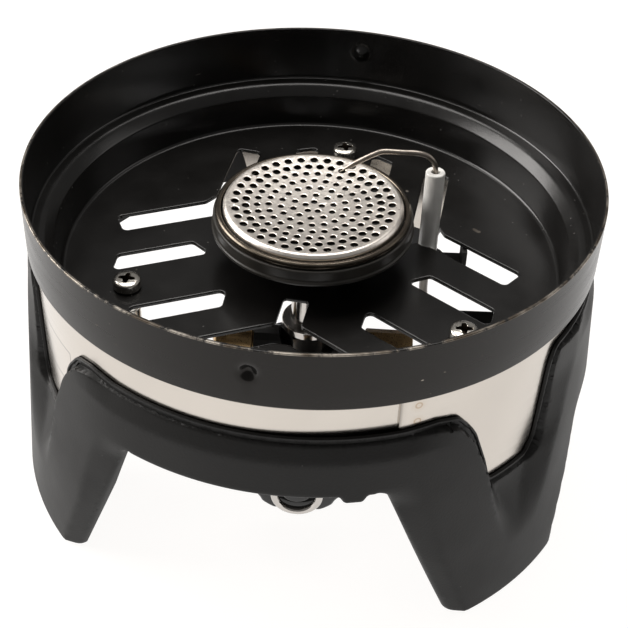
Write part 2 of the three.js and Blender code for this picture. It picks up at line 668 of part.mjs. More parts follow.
function electrodeWire() {
  const [x, y] = ELECTRODE;
  const top = 77.1;
  const points = [
    [x, y, 44.8], [x, y, 60], [x, y, 72.5], [x - 0.5, y, 74.6], [x - 2.0, y, 76.3],
    [x - 4.2, y, top - 0.1], [x - 8, y, top], [x - 12.2, y, top], [x - 13.6, y, top - 0.6],
    [x - 17.4, y, 74.2], [x - 21.3, y, 71.4],
  ];
  const curve = new THREE.CatmullRomCurve3(points.map((p) => new THREE.Vector3(...p)), false, 'centripetal');
  return sweep(curve, 0.6, 6, 30);
}

function electrodeClamp() {
  const [x, y] = ELECTRODE;
  const ring = cylinder(4.2, 47, 49, 20).translate(x, y, 0);
  const tab = box(x, x + 9, y - 3, y + 3, 47, 48);
  const lift = box(x + 8, x + 9, y - 3, y + 3, 47, PLATE_Z - SHEET - GAP);
  return cut(join([ring, tab, lift]), [cylinder(2.5, 46, 50, 20).translate(x, y, 0)]);
}

function igniterParts() {
  const [x, y] = ELECTRODE;
  put(ignition, 'igniter_body', igniterBody(), blackPlastic);
  put(ignition, 'igniter_holder', igniterHolder(), blackMetal);
  put(ignition, 'igniter_button', igniterButton(), blackPlastic);
  put(ignition, 'igniter_spring', igniterSpring(), wireSteel);
  put(ignition, 'piezo_element', alongSide(cylinder(2, 36.5, 41, 12), IGNITER_Z), ceramic);
  put(ignition, 'ceramic_insulator', tube(2.2, 0.95, 45, 72.4, 20).translate(x, y, 0), ceramic);
  put(ignition, 'electrode_wire', electrodeWire(), wireSteel);
  put(ignition, 'electrode_clamp', electrodeClamp(), blackMetal);
  const route = [
    [x, y, 44.4], [x, y, 40], [x + 0.4, y - 0.5, 36], [x + 1.6, y - 2.2, 31.8],
    [x + 4.4, y - 5.2, IGNITER_Z + 0.3], [34.5, 0.8, IGNITER_Z],
  ];
  const curve = new THREE.CatmullRomCurve3(route.map((p) => new THREE.Vector3(...p)));
  put(ignition, 'ignition_lead', sweep(curve, 1, 8, 16), leadSheath);
}

// ---------------------------------------------------------------- assembly

put(stove, 'burner_bowl', burnerBowl(), enamel);
put(stove, 'heat_shell', heatShell(), stainless);
put(stove, 'leg_skirt', legSkirt(), skirtPlastic);
put(stove, 'base_bracket', baseBracket(), blackMetal);
fasteners();
burnerHead();
valveParts();
igniterParts();

const assembly = new THREE.Group();
assembly.add(stove);

export default assembly;
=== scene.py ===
"""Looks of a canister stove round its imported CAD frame. Lengths in this script are in millimetres,
in the stove's own frame: origin on the ground under the burner axis. mesh_piece() turns them into
metres in the row frame. Azimuths are in degrees, counter-clockwise from +X."""

import json
import math

import bmesh
import bpy
import numpy as np
from mathutils import Matrix, Vector
from mathutils.geometry import delaunay_2d_cdt


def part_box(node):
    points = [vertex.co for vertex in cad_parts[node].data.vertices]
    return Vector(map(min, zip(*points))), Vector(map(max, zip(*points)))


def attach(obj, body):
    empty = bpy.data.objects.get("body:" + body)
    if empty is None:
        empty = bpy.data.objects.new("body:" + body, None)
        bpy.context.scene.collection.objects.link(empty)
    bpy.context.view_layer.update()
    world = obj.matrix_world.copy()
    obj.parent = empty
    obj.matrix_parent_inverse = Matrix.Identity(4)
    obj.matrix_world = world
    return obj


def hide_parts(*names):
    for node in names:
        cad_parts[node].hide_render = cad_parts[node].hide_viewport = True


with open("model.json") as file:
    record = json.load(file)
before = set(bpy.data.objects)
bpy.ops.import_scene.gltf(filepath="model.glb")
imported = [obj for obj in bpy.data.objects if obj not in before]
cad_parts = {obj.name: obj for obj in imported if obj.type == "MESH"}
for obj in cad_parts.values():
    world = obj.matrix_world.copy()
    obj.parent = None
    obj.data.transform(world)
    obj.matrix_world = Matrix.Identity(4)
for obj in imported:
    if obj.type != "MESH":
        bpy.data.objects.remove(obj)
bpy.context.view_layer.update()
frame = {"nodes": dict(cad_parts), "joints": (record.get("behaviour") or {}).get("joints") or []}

MM = 0.001
low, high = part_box("burner_disc")
AXIS = Vector(((low.x + high.x) / 2, (low.y + high.y) / 2, 0))
JOINTS = {j["name"]: j for j in frame["joints"]}


def turn_of(x, y):
    return math.degrees(math.atan2(y, x))


spindle = JOINTS["valve_turn"]["axis"]
VALVE_TURN = turn_of(spindle[0], spindle[1]) + 90
push = JOINTS["button_press"]["axis"]
IGNITION_TURN = turn_of(-push[0], -push[1])

RIM_R = 62.5
RIM_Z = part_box("burner_bowl")[1].z / MM
SHEET = 0.8
PLATE_Z = 53.7
SCREW_AZIMUTHS = (90, 210, 330)
SCREW_R = 42.5
LEG_AZIMUTHS = (90, 215, 325)
SHELL_R = 61.0
SHELL_TOP = 63.3
SEAM = 297.0
WELD_AZIMUTH = 300.5
WELD_HEIGHTS = (61.8, 57.7)
DIMPLE_AZIMUTHS = (90, 270)
DIMPLE_Z = 72.3


def polar(r, azimuth, z):
    a = math.radians(azimuth)
    return (r * math.cos(a), r * math.sin(a), z)


def clamp(x, lo=0.0, hi=1.0):
    return min(hi, max(lo, x))


def ease(x, lo, hi):
    t = np.clip((x - lo) / (hi - lo), 0, 1)
    return t * t * (3 - 2 * t)


# ---------------- materials


class Look:
    """A procedural material. Textures read object coordinates, which are the row frame's metres."""

    def __init__(self, name, color, roughness, metallic=0.0, **sockets):
        self.mat = bpy.data.materials.new(name)
        self.mat.use_nodes = True
        self.tree = self.mat.node_tree
        self.bsdf = self.tree.nodes["Principled BSDF"]
        self.bsdf.inputs["Base Color"].default_value = (*color, 1)
        self.bsdf.inputs["Roughness"].default_value = roughness
        self.bsdf.inputs["Metallic"].default_value = metallic
        for key, value in sockets.items():
            self.bsdf.inputs[key.replace("_", " ")].default_value = value
        self.coord = self.node("ShaderNodeTexCoord").outputs["Object"]

    def node(self, kind, **settings):
        n = self.tree.nodes.new(kind)
        for key, value in settings.items():
            setattr(n, key, value)
        return n

    def link(self, a, b):
        self.tree.links.new(a, b)

    def place(self, stretch):
        m = self.node("ShaderNodeMapping")
        m.inputs["Scale"].default_value = stretch
        self.link(self.coord, m.inputs["Vector"])
        return m.outputs["Vector"]

    def noise(self, size, detail=3.0, stretch=(1, 1, 1), where=None, rough=0.55):
        n = self.node("ShaderNodeTexNoise")
        n.inputs["Scale"].default_value = 1 / (size * MM)
        n.inputs["Detail"].default_value = detail
        n.inputs["Roughness"].default_value = rough
        self.link(where or self.place(stretch), n.inputs["Vector"])
        return n.outputs["Fac"]

    def cells(self, size, feature="F1"):
        n = self.node("ShaderNodeTexVoronoi", feature=feature)
        n.inputs["Scale"].default_value = 1 / (size * MM)
        self.link(self.coord, n.inputs["Vector"])
        return n.outputs["Distance"]

    def span(self, value, lo, hi, out_lo=0.0, out_hi=1.0):
        n = self.node("ShaderNodeMapRange")
        for key, v in zip(("From Min", "From Max", "To Min", "To Max"), (lo, hi, out_lo, out_hi)):
            n.inputs[key].default_value = v
        self.link(value, n.inputs["Value"])
        return n.outputs["Result"]

    def math(self, operation, a, b=None):
        n = self.node("ShaderNodeMath", operation=operation)
        for i, v in enumerate((a, b)):
            if v is None:
                continue
            if isinstance(v, (int, float)):
                n.inputs[i].default_value = v
            else:
                self.link(v, n.inputs[i])
        return n.outputs[0]

    def times(self, a, b):
        return self.math("MULTIPLY", a, b)

    def mix(self, factor, a, b):
        n = self.node("ShaderNodeMix", data_type="RGBA")
        self.link(factor, n.inputs["Factor"])
        for socket, v in (("A", a), ("B", b)):
            target = [s for s in n.inputs if s.name == socket and s.type == "RGBA"][0]
            if isinstance(v, tuple):
                target.default_value = (*v, 1)
            else:
                self.link(v, target)
        return [s for s in n.outputs if s.type == "RGBA"][0]

    def attribute(self, name):
        return self.node("ShaderNodeAttribute", attribute_name=name).outputs["Fac"]

    def paint(self, color=None, roughness=None, metallic=None):
        for name, v in (("Base Color", color), ("Roughness", roughness), ("Metallic", metallic)):
            if v is not None:
                self.link(v, self.bsdf.inputs[name])
        return self

    def bump(self, height, depth, strength=1.0):
        n = self.node("ShaderNodeBump")
        n.inputs["Distance"].default_value = depth * MM
        n.inputs["Strength"].default_value = strength
        self.link(height, n.inputs["Height"])
        old = self.bsdf.inputs["Normal"].links
        if old:
            self.link(old[0].from_socket, n.inputs["Normal"])
        self.link(n.outputs["Normal"], self.bsdf.inputs["Normal"])
        return self

    def near(self, point, reach):
        """1 at a point given in the stove's millimetres, falling to 0 at a distance."""
        d = self.node("ShaderNodeVectorMath", operation="DISTANCE")
        self.link(self.coord, d.inputs[0])
        d.inputs[1].default_value = AXIS + Vector(point) * MM
        return self.span(d.outputs["Value"], 0, reach * MM, 1, 0)

    def ring(self, point, radius, width):
        """1 on a circle round a point, falling to 0 on both sides of it."""
        out = self.near(point, radius + width)
        inner = self.near(point, radius)
        rise = self.span(out, 0.0, width / (radius + width))
        return self.times(rise, self.span(inner, 0.0, 0.35, 1, 0))

    def about_axis(self):
        """Coordinates of distance from the burner axis and height, the same all the way round."""
        shift = self.node("ShaderNodeVectorMath", operation="SUBTRACT")
        self.link(self.coord, shift.inputs[0])
        shift.inputs[1].default_value = AXIS
        split = self.node("ShaderNodeSeparateXYZ")
        self.link(shift.outputs[0], split.inputs[0])
        x, y, z = split.outputs
        square = self.math("ADD", self.times(x, x), self.times(y, y))
        joined = self.node("ShaderNodeCombineXYZ")
        self.link(self.math("SQRT", square), joined.inputs[0])
        self.link(z, joined.inputs[2])
        return joined.outputs[0]


def scaled(color, k):
    return tuple(c * k for c in color)


def worn_rim(m):
    """How bare the rim is where the attribute says wear, and the colour of the bare metal."""
    patches = m.span(m.noise(4.5, 8, stretch=(1, 1, 0.2), rough=0.75), 0.42, 0.50)
    bare = m.times(m.span(m.attribute("wear"), 0.45, 0.6), patches)
    return bare, m.mix(m.span(m.noise(6), 0.42, 0.62), (0.085, 0.07, 0.055), (0.33, 0.30, 0.262))


def enamel_look():
    """The bowl's inside: glossy black with pale specks, a few scratches and a worn rim."""
    base = (0.0062, 0.0058, 0.0054)
    m = Look("enamel", base, 0.22, 0.0, IOR=1.45)
    cloud = m.noise(9, 4)
    grain = m.noise(0.35, 3)
    specks = m.times(m.math("LESS_THAN", m.cells(2.6), 0.075), m.span(m.noise(14, 2), 0.5, 0.56))
    scratch = m.noise(0.9, 2, stretch=(0.12, 0.12, 1.6))
    marks = m.times(m.span(scratch, 0.742, 0.752), m.span(m.noise(7, 2), 0.56, 0.6))
    worn, metal = worn_rim(m)
    bare = m.math("MAXIMUM", worn, m.times(marks, 0.6))
    paint = m.mix(cloud, scaled(base, 0.7), scaled(base, 1.35))
    paint = m.mix(m.times(specks, 0.35), paint, (0.20, 0.19, 0.18))
    m.paint(
        color=m.mix(bare, paint, metal),
        roughness=m.math("ADD", m.span(cloud, 0.3, 0.7, 0.20, 0.27), m.times(bare, 0.12)),
        metallic=bare,
    )
    return m.bump(grain, 0.012).bump(cloud, 0.05, 0.5).mat


def band_look():
    """The bowl's outside: satin black with small bare nicks and a worn rim."""
    base = (0.0055, 0.0050, 0.0045)
    m = Look("enamel_outside", base, 0.25, 0.0, IOR=1.38, Specular_IOR_Level=0.42,
             Specular_Tint=(1.0, 0.95, 0.91, 1.0))
    cloud = m.noise(12, 4)
    grain = m.noise(0.3, 4)
    streak = m.noise(2.2, 3, stretch=(0.1, 0.1, 1.2))
    nick = m.times(m.span(m.noise(0.8, 2, stretch=(0.35, 0.35, 1)), 0.72, 0.74),
                  m.span(m.noise(9, 2), 0.57, 0.62))
    worn, metal = worn_rim(m)
    bare = m.math("MAXIMUM", worn, nick)
    paint = m.mix(m.times(cloud, 0.8), scaled(base, 0.8), scaled(base, 1.2))
    m.paint(
        color=m.mix(bare, paint, metal),
        roughness=m.span(streak, 0.3, 0.7, 0.22, 0.29),
        metallic=bare,
    )
    return m.bump(grain, 0.01).bump(cloud, 0.04, 0.4).mat


def shell_look():
    """Bright rolled steel: faint rolling marks, brownish weld spots by the seam, a blank outline, and painted
    shade along the lapped seam.
    """
    base = (0.61, 0.566, 0.516)
    m = Look("heat_shell_steel", base, 0.3, 1.0)
    streak = m.noise(0.9, 5, stretch=(0.02, 0.02, 1))
    cloud = m.noise(16, 3)
    color = m.mix(cloud, scaled(base, 0.93), scaled(base, 1.05))
    for height in WELD_HEIGHTS:
        spot = polar(SHELL_R, WELD_AZIMUTH, height)
        color = m.mix(m.times(m.near(spot, 1.9), 0.3), color, (0.50, 0.38, 0.25))
        color = m.mix(m.times(m.ring(spot, 0.62, 0.28), 0.6), color, (0.33, 0.22, 0.12))
    # The 'line' attribute darkens the blank outline, which is a printed mark, and the lapped seam, where the
    # darkening is painted shade in the step's gap.
    color = m.mix(m.times(m.attribute("line"), 0.7), color, (0.17, 0.155, 0.14))
    m.paint(color=color, roughness=m.span(streak, 0.3, 0.7, 0.17, 0.25))
    return m.bump(streak, 0.004).bump(cloud, 0.05, 0.35).mat


def skirt_look():
    """Moulded charcoal plastic: pitted and matt, with a little pale dust."""
    base = (0.0092, 0.0088, 0.0083)
    m = Look("skirt_plastic", base, 0.5, 0.0, IOR=1.42, Specular_IOR_Level=0.32)
    pit = m.cells(0.42, "SMOOTH_F1")
    grain = m.noise(0.55, 4)
    cloud = m.noise(22, 3)
    dust = m.times(m.math("LESS_THAN", m.cells(3.1), 0.05), m.span(m.noise(17, 2), 0.52, 0.58))
    paint = m.mix(m.times(grain, 0.9), scaled(base, 0.78), scaled(base, 1.22))
    m.paint(
        color=m.mix(m.times(dust, 0.25), paint, (0.16, 0.155, 0.15)),
        roughness=m.span(cloud, 0.3, 0.7, 0.44, 0.55),
    )
    return m.bump(pit, 0.03, 0.7).bump(grain, 0.025, 0.7).mat


def metal_look(name, base, roughness, grain=0.25, ring=False, stain=None, depth=0.006):
    """Bare or plated metal: fine turning marks, clouded roughness and, where given, a stain in patches."""
    m = Look(name, base, roughness, 1.0)
    marks = m.noise(grain, 3, stretch=(1, 1, 0.3), where=m.about_axis() if ring else None)
    cloud = m.noise(3.5, 4)
    color = m.mix(cloud, scaled(base, 0.9), scaled(base, 1.06))
    if stain:
        color = m.mix(m.span(m.noise(2.2, 5), 0.5, 0.72), color, stain)
    m.paint(color=color, roughness=m.span(marks, 0.3, 0.7, roughness * 0.8, roughness * 1.25))
    return m.bump(marks, depth).mat


def dielectric_look(name, base, roughness, size, depth, **sockets):
    """Moulded plastic, rubber, ceramic or paint: a fine grain, and clouded colour and gloss."""
    m = Look(name, base, roughness, 0.0, **sockets)
    grain = m.noise(size, 4)
    cloud = m.noise(5, 4)
    m.paint(
        color=m.mix(cloud, scaled(base, 0.86), scaled(base, 1.1)),
        roughness=m.span(grain, 0.3, 0.7, roughness * 0.85, min(1.0, roughness * 1.15)),
    )
    return m.bump(grain, depth).mat


def painted_steel_look(name, base, roughness=0.36):
    """Satin black finish over steel, with bare spots where the attribute says wear."""
    m = Look(name, base, roughness, 0.0, IOR=1.5)
    cloud = m.noise(6, 4)
    grain = m.noise(0.4, 3)
    bare = m.times(m.attribute("wear"), m.span(m.noise(0.9, 4), 0.45, 0.55))
    paint = m.mix(cloud, scaled(base, 0.75), scaled(base, 1.4))
    m.paint(
        color=m.mix(bare, paint, (0.5, 0.47, 0.43)),
        roughness=m.span(cloud, 0.3, 0.7, roughness * 0.85, roughness * 1.15),
        metallic=bare,
    )
    return m.bump(grain, 0.012).mat


# Colour, roughness, and what differs from metal_look's defaults.
METALS = {
    "polished_steel": ((0.92, 0.862, 0.795), 0.34, dict(grain=0.5, depth=0.002)),
    "burner_band": ((0.135, 0.115, 0.092), 0.24, dict(grain=0.3, ring=True, stain=(0.09, 0.075, 0.058))),
    # Near-black metal on the walls of the flame holes and the screws' cross recesses: painted shade inside
    # the holes.
    "hole_wall": ((0.030, 0.022, 0.016), 0.55, dict(grain=0.4)),
    "chrome": ((0.58, 0.55, 0.52), 0.14, dict(grain=0.6, depth=0.002)),
    "brass": ((0.50, 0.335, 0.165), 0.3, dict(stain=(0.36, 0.23, 0.11), depth=0.003)),
    "nickel": ((0.66, 0.63, 0.58), 0.22, dict(stain=(0.45, 0.42, 0.37))),
    "wire_steel": ((0.36, 0.32, 0.28), 0.33, dict(grain=0.3, stain=(0.20, 0.17, 0.145))),
}

# Colour, roughness, grain size and depth, and shader sockets.
DIELECTRICS = {
    "rubber": ((0.012, 0.012, 0.012), 0.7, 0.6, 0.02, {}),
    "black_plastic": ((0.012, 0.012, 0.012), 0.34, 0.5, 0.015, {}),
    "ceramic": ((0.80, 0.79, 0.76), 0.34, 0.5, 0.01, {"IOR": 1.55}),
    "lead_sheath": ((0.66, 0.63, 0.57), 0.5, 0.4, 0.02, {}),
}

LOOKS = {
    "enamel": enamel_look(),
    "enamel_outside": band_look(),
    "heat_shell_steel": shell_look(),
    "skirt_plastic": skirt_look(),
    "black_metal": painted_steel_look("black_metal", (0.011, 0.0105, 0.010)),
    "cup_black": painted_steel_look("cup_black", (0.026, 0.0235, 0.020)),
}
for name, (base, roughness, rest) in METALS.items():
    LOOKS[name] = metal_look(name, base, roughness, **rest)
for name, (base, roughness, size, depth, sockets) in DIELECTRICS.items():
    LOOKS[name] = dielectric_look(name, base, roughness, size, depth, **sockets)

# ---------------- mesh tools


def mesh_piece(name, verts, faces, looks, slot, nodes, body="stove", turn=0.0, at=None,
               sharp=28, attributes=None, face_looks=None, weld=0.0):
    """An object from millimetre vertices: placed, turned about the burner axis and riding on a body."""
    me = bpy.data.meshes.new(name)
    move = np.array(Matrix.Rotation(math.radians(turn), 4, "Z") @ (at or Matrix()))
    co = (np.array(verts, float) @ move[:3, :3].T + move[:3, 3]) * MM + np.array(AXIS)
    me.from_pydata([tuple(c) for c in co], [], [tuple(int(i) for i in f) for f in faces])
    for look in [looks] if isinstance(looks, str) else looks:
        me.materials.append(LOOKS[look])
    if face_looks is not None:
        me.polygons.foreach_set("material_index", np.array(face_looks, np.int32))
    for key, values in (attributes or {}).items():
        me.attributes.new(key, "FLOAT", "POINT").data.foreach_set("value", np.array(values, np.float32))
    bm = bmesh.new()
    bm.from_mesh(me)
    if weld:
        bmesh.ops.remove_doubles(bm, verts=bm.verts, dist=weld * MM)
    bmesh.ops.recalc_face_normals(bm, faces=bm.faces)
    bm.to_mesh(me)
    bm.free()
    me.shade_smooth()
    me.set_sharp_from_angle(angle=math.radians(sharp))
    obj = bpy.data.objects.new(name, me)
    bpy.context.scene.collection.objects.link(obj)
    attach(obj, body)
    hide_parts(*([nodes] if isinstance(nodes, str) else nodes))
    return obj


def rounded(points, closed=True, step=14):
    """A polyline with its corners turned into arcs. Each point is (x, y) or (x, y, radius)."""
    out = []
    n = len(points)
    for i, point in enumerate(points):
        p = np.array(point[:2], float)
        radius = point[2] if len(point) > 2 else 0
        if radius <= 0 or (not closed and i in (0, n - 1)):
            out.append(tuple(p))
            continue
        a = np.array(points[i - 1][:2], float) - p
        b = np.array(points[(i + 1) % n][:2], float) - p
        la, lb = np.linalg.norm(a), np.linalg.norm(b)
        a, b = a / la, b / lb
        half = math.acos(clamp(float(a @ b), -1, 1)) / 2
        if half > math.radians(89):
            out.append(tuple(p))
            continue
        reach = min(radius / math.tan(half), 0.48 * la, 0.48 * lb)
        r = reach * math.tan(half)
        centre = p + (a + b) / np.linalg.norm(a + b) * math.hypot(r, reach)
        start = p + a * reach - centre
        finish = p + b * reach - centre
        a0 = math.atan2(start[1], start[0])
        sweep = (math.atan2(finish[1], finish[0]) - a0 + math.pi) % (2 * math.pi) - math.pi
        count = max(2, int(math.ceil(abs(math.degrees(sweep)) / step)))
        for k in range(count + 1):
            t = a0 + sweep * k / count
            out.append((centre[0] + r * math.cos(t), centre[1] + r * math.sin(t)))
    return out


def resample(line, spacing, closed=True):
    """The same polyline with long edges divided."""
    pts = [np.array(p, float) for p in line]
    out = []
    for i in range(len(pts) if closed else len(pts) - 1):
        a, b = pts[i], pts[(i + 1) % len(pts)]
        length = np.linalg.norm(b - a)
        if length < 1e-6:
            continue
        count = max(1, int(round(length / spacing)))
        out += [tuple(a + (b - a) * k / count) for k in range(count)]
    if not closed:
        out.append(tuple(pts[-1]))
    return out


def lathe(profile, segments=96, azimuths=None, closed=True):
    """Vertices and faces of a profile of (r, z) points turned about Z. Points on the axis are shared."""
    if azimuths is None:
        azimuths = [360 * i / segments for i in range(segments)]
    verts, rows = [], []
    for r, z in profile:
        if r < 1e-6:
            rows.append([len(verts)] * len(azimuths))
            verts.append((0, 0, z))
        else:
            rows.append(list(range(len(verts), len(verts) + len(azimuths))))
            verts.extend(polar(r, a, z) for a in azimuths)
    faces = []
    count = len(profile) if closed else len(profile) - 1
    for i in range(count):
        a, b = rows[i], rows[(i + 1) % len(profile)]
        for k in range(len(azimuths)):
            j = (k + 1) % len(azimuths)
            quad = [a[k], a[j], b[j], b[k]]
            face = [v for n, v in enumerate(quad) if v != quad[n - 1]]
            if len(set(face)) > 2:
                faces.append(face)
    return verts, faces


def strip(a, b, n):
    """Quads between two closed rows of n vertices that start at a and b."""
    return [(a + i, a + (i + 1) % n, b + (i + 1) % n, b + i) for i in range(n)]


def joined(a, b):
    """The vertices and faces of two meshes as one."""
    n = len(a[0])
    return a[0] + b[0], a[1] + [tuple(n + i for i in f) for f in b[1]]


def turned(name, profile, look, slot, node, segments=72, along="z", height=0.0, turn=0.0):
    """A lathed piece. The profile is closed, or starts and ends on the axis."""
    line = rounded(profile, closed=profile[0][0] > 0)
    verts, faces = lathe(line, segments, closed=profile[0][0] > 0)
    verts = [lay(v, along, height) for v in verts]
    return mesh_piece(name, verts, faces, look, slot, node, turn=turn)


def lay(v, along, height):
    """Lays a point of an upright piece so that its own Z runs to the front or to the side."""
    x, y, z = v
    if along == "front":
        return (x, -z, y + height)
    if along == "side":
        return (z, y, -x + height)
    return (x, y, z + height)


def edge_distance(points, lines):
    """Distance from each point to the nearest segment of several polylines, given as (N, 2, 2) segments."""
    out = np.full(len(points), 1e9)
    for k in range(0, len(points), 2000):
        p = points[k : k + 2000, None, :]
        a, b = lines[None, :, 0], lines[None, :, 1]
        ab = b - a
        t = np.clip(((p - a) * ab).sum(2) / np.maximum((ab * ab).sum(2), 1e-12), 0, 1)
        out[k : k + 2000] = np.sqrt((((a + ab * t[..., None]) - p) ** 2).sum(2)).min(1)
    return out


def segments_of(line, closed=True):
    p = np.array(line, float)
    q = np.roll(p, -1, axis=0)
    s = np.stack([p, q], axis=1)
    return s if closed else s[:-1]


def offset_rows(wall, offsets):
    """Points beside the start of each segment at each distance, on both of its sides, so that the
    rows run parallel to the edge and their points line up across it."""
    along = wall[:, 1] - wall[:, 0]
    length = np.maximum(np.linalg.norm(along, axis=1), 1e-9)[:, None]
    normal = np.stack([-along[:, 1], along[:, 0]], axis=1) / length
    ends = {tuple(np.round(e, 4)): i for i, e in enumerate(wall[:, 1])}
    before = [ends.get(tuple(np.round(a, 4)), i) for i, a in enumerate(wall[:, 0])]
    corner = normal + normal[before]
    corner = corner * 2 / np.maximum((corner * corner).sum(1), 1.0)[:, None]
    for d in offsets:
        for sign in (1, -1):
            yield d, wall[:, 0] + corner * d * sign


def inside(points, loops):
    """Even-odd test of points against closed loops."""
    result = np.zeros(len(points), bool)
    x, y = points[:, 0], points[:, 1]
    for loop in loops:
        for (x0, y0), (x1, y1) in segments_of(loop):
            if y0 == y1:
                continue
            hit = ((y0 > y) != (y1 > y)) & (x < (x1 - x0) * (y - y0) / (y1 - y0) + x0)
            result ^= hit
    return result


THIN = 0.07


def fill(loops, offsets, spacing, walls=None, extra=()):
    """Triangulates the region inside loops: rows of points at the given distances from its edges,
    and a grid inside them. Returns the points, which start with those of the loops, and the triangles."""
    ring = [p for loop in loops for p in loop]
    constraint, k = [], 0
    for loop in loops:
        n = len(loop)
        constraint += [(k + i, k + (i + 1) % n) for i in range(n)]
        k += n
    wall = np.concatenate([segments_of(loop) for loop in loops]) if walls is None else walls
    found = []
    for d, c in offset_rows(wall, offsets):
        c = c[inside(c, loops)]
        if len(c):
            found.append(c[edge_distance(c, wall) > d * 0.985])
    box = np.array(ring)
    (x0, y0), (x1, y1) = box.min(0), box.max(0)
    gx = np.arange(x0, x1, spacing)
    gy = np.arange(y0, y1, spacing * 0.866)
    grid = np.array([(x + (0.5 * spacing if j % 2 else 0), y) for j, y in enumerate(gy) for x in gx])
    grid = grid[inside(grid, loops)]
    reach = (offsets[-1] if offsets else 0) + 0.45 * spacing
    if len(grid):
        found.append(grid[edge_distance(grid, wall) > reach])
    if len(extra):
        found.append(np.array(extra, float))
    cloud = np.concatenate([np.array(ring)] + found) if found else np.array(ring)
    # points that nearly coincide are thinned out
    taken, keep = set(), []
    for i, p in enumerate(cloud):
        cell = (round(p[0] / THIN), round(p[1] / THIN))
        if i < len(ring) or cell not in taken:
            taken.add(cell)
            keep.append(i)
    cloud = cloud[keep]
    result = delaunay_2d_cdt([Vector(p) for p in cloud], constraint, [], 0, 1e-6)
    out = np.array([tuple(p) for p in result[0]])
    tris = np.array([t for t in result[2] if len(t) == 3])
    centre = out[tris].mean(axis=1)
    return out, tris[inside(centre, loops)]


def slab(loops, front, back, offsets, spacing, back_spacing, walls=None, skip=0):
    """A closed sheet: a front face filled from loops, a plainer back face, and the edges between them.
    front turns points and their edge distances into 3-D, and back turns points. The first `skip`
    loops get no edge strip."""
    wall = np.concatenate([segments_of(loop) for loop in loops[skip:]]) if walls is None else walls
    p, t = fill(loops, offsets, spacing, wall)
    q, u = fill(loops, [], back_spacing, wall)
    verts = list(front(p, edge_distance(p, wall))) + list(back(q))
    n = len(p)
    faces = [tuple(f) for f in t] + [tuple(n + i for i in f) for f in u]
    k = 0
    for index, loop in enumerate(loops):
        m = len(loop)
        if index >= skip:
            faces += strip(k, n + k, m)
        k += m
    return verts, faces


def round_off(d, radius):
    """How far a face drops at distance d from its edge when the edge is rounded."""
    x = np.clip(radius - d, 0, radius)
    return radius - np.sqrt(np.maximum(radius * radius - x * x, 0))


def circle(cx, cy, r, n):
    steps = [2 * math.pi * i / n for i in range(n)]
    return [(cx + r * math.cos(a), cy + r * math.sin(a)) for a in steps]


def rotated(line, azimuth):
    a = math.radians(azimuth)
    return [(x * math.cos(a) - y * math.sin(a), x * math.sin(a) + y * math.cos(a)) for x, y in line]


# ---------------- bowl

ELECTRODE = (26.8, 7.2)
FLOOR_R = 54.0
HUB_R = 9.0
LEDGE_Z = 64.2
DENT_REACH = (69.6, 75.2)


def slot_loops():
    """The floor's openings: two slots beside each screw, a forked slot between screws, and the holes."""
    loops = []
    clear = rotated([ELECTRODE], IGNITION_TURN)[0]
    for azimuth in SCREW_AZIMUTHS:
        for side in (1, -1):
            corners = [(22.0, 6.9), (44.5, 6.9), (42.0, 12.2), (24.6, 12.2)]
            line = rounded([(u, v * side, 1.25) for u, v in corners])
            loops.append(rotated(resample(line, 0.9), azimuth))
        half = [(16.9, 2.75, 0.8), (25.6, 2.75, 1.6), (37.4, 23.2, 1.3), (42.7, 20.4, 1.3), (32.0, 1.7, 2.2)]
        line = rounded(half + [(u, -v, r) for u, v, r in reversed(half)])
        fork = rotated(resample(line, 0.9), azimuth + 60)
        loops.append([pushed(p, clear, 2.75) for p in fork])
    loops += [rotated(circle(SCREW_R, 0, 1.8, 20), a) for a in SCREW_AZIMUTHS]
    return loops


def pushed(p, centre, radius):
    """Moves a point of an outline out of a circle that the outline has to clear."""
    dx, dy = p[0] - centre[0], p[1] - centre[1]
    d = math.hypot(dx, dy)
    return p if d >= radius else (centre[0] + dx * radius / d, centre[1] + dy * radius / d)


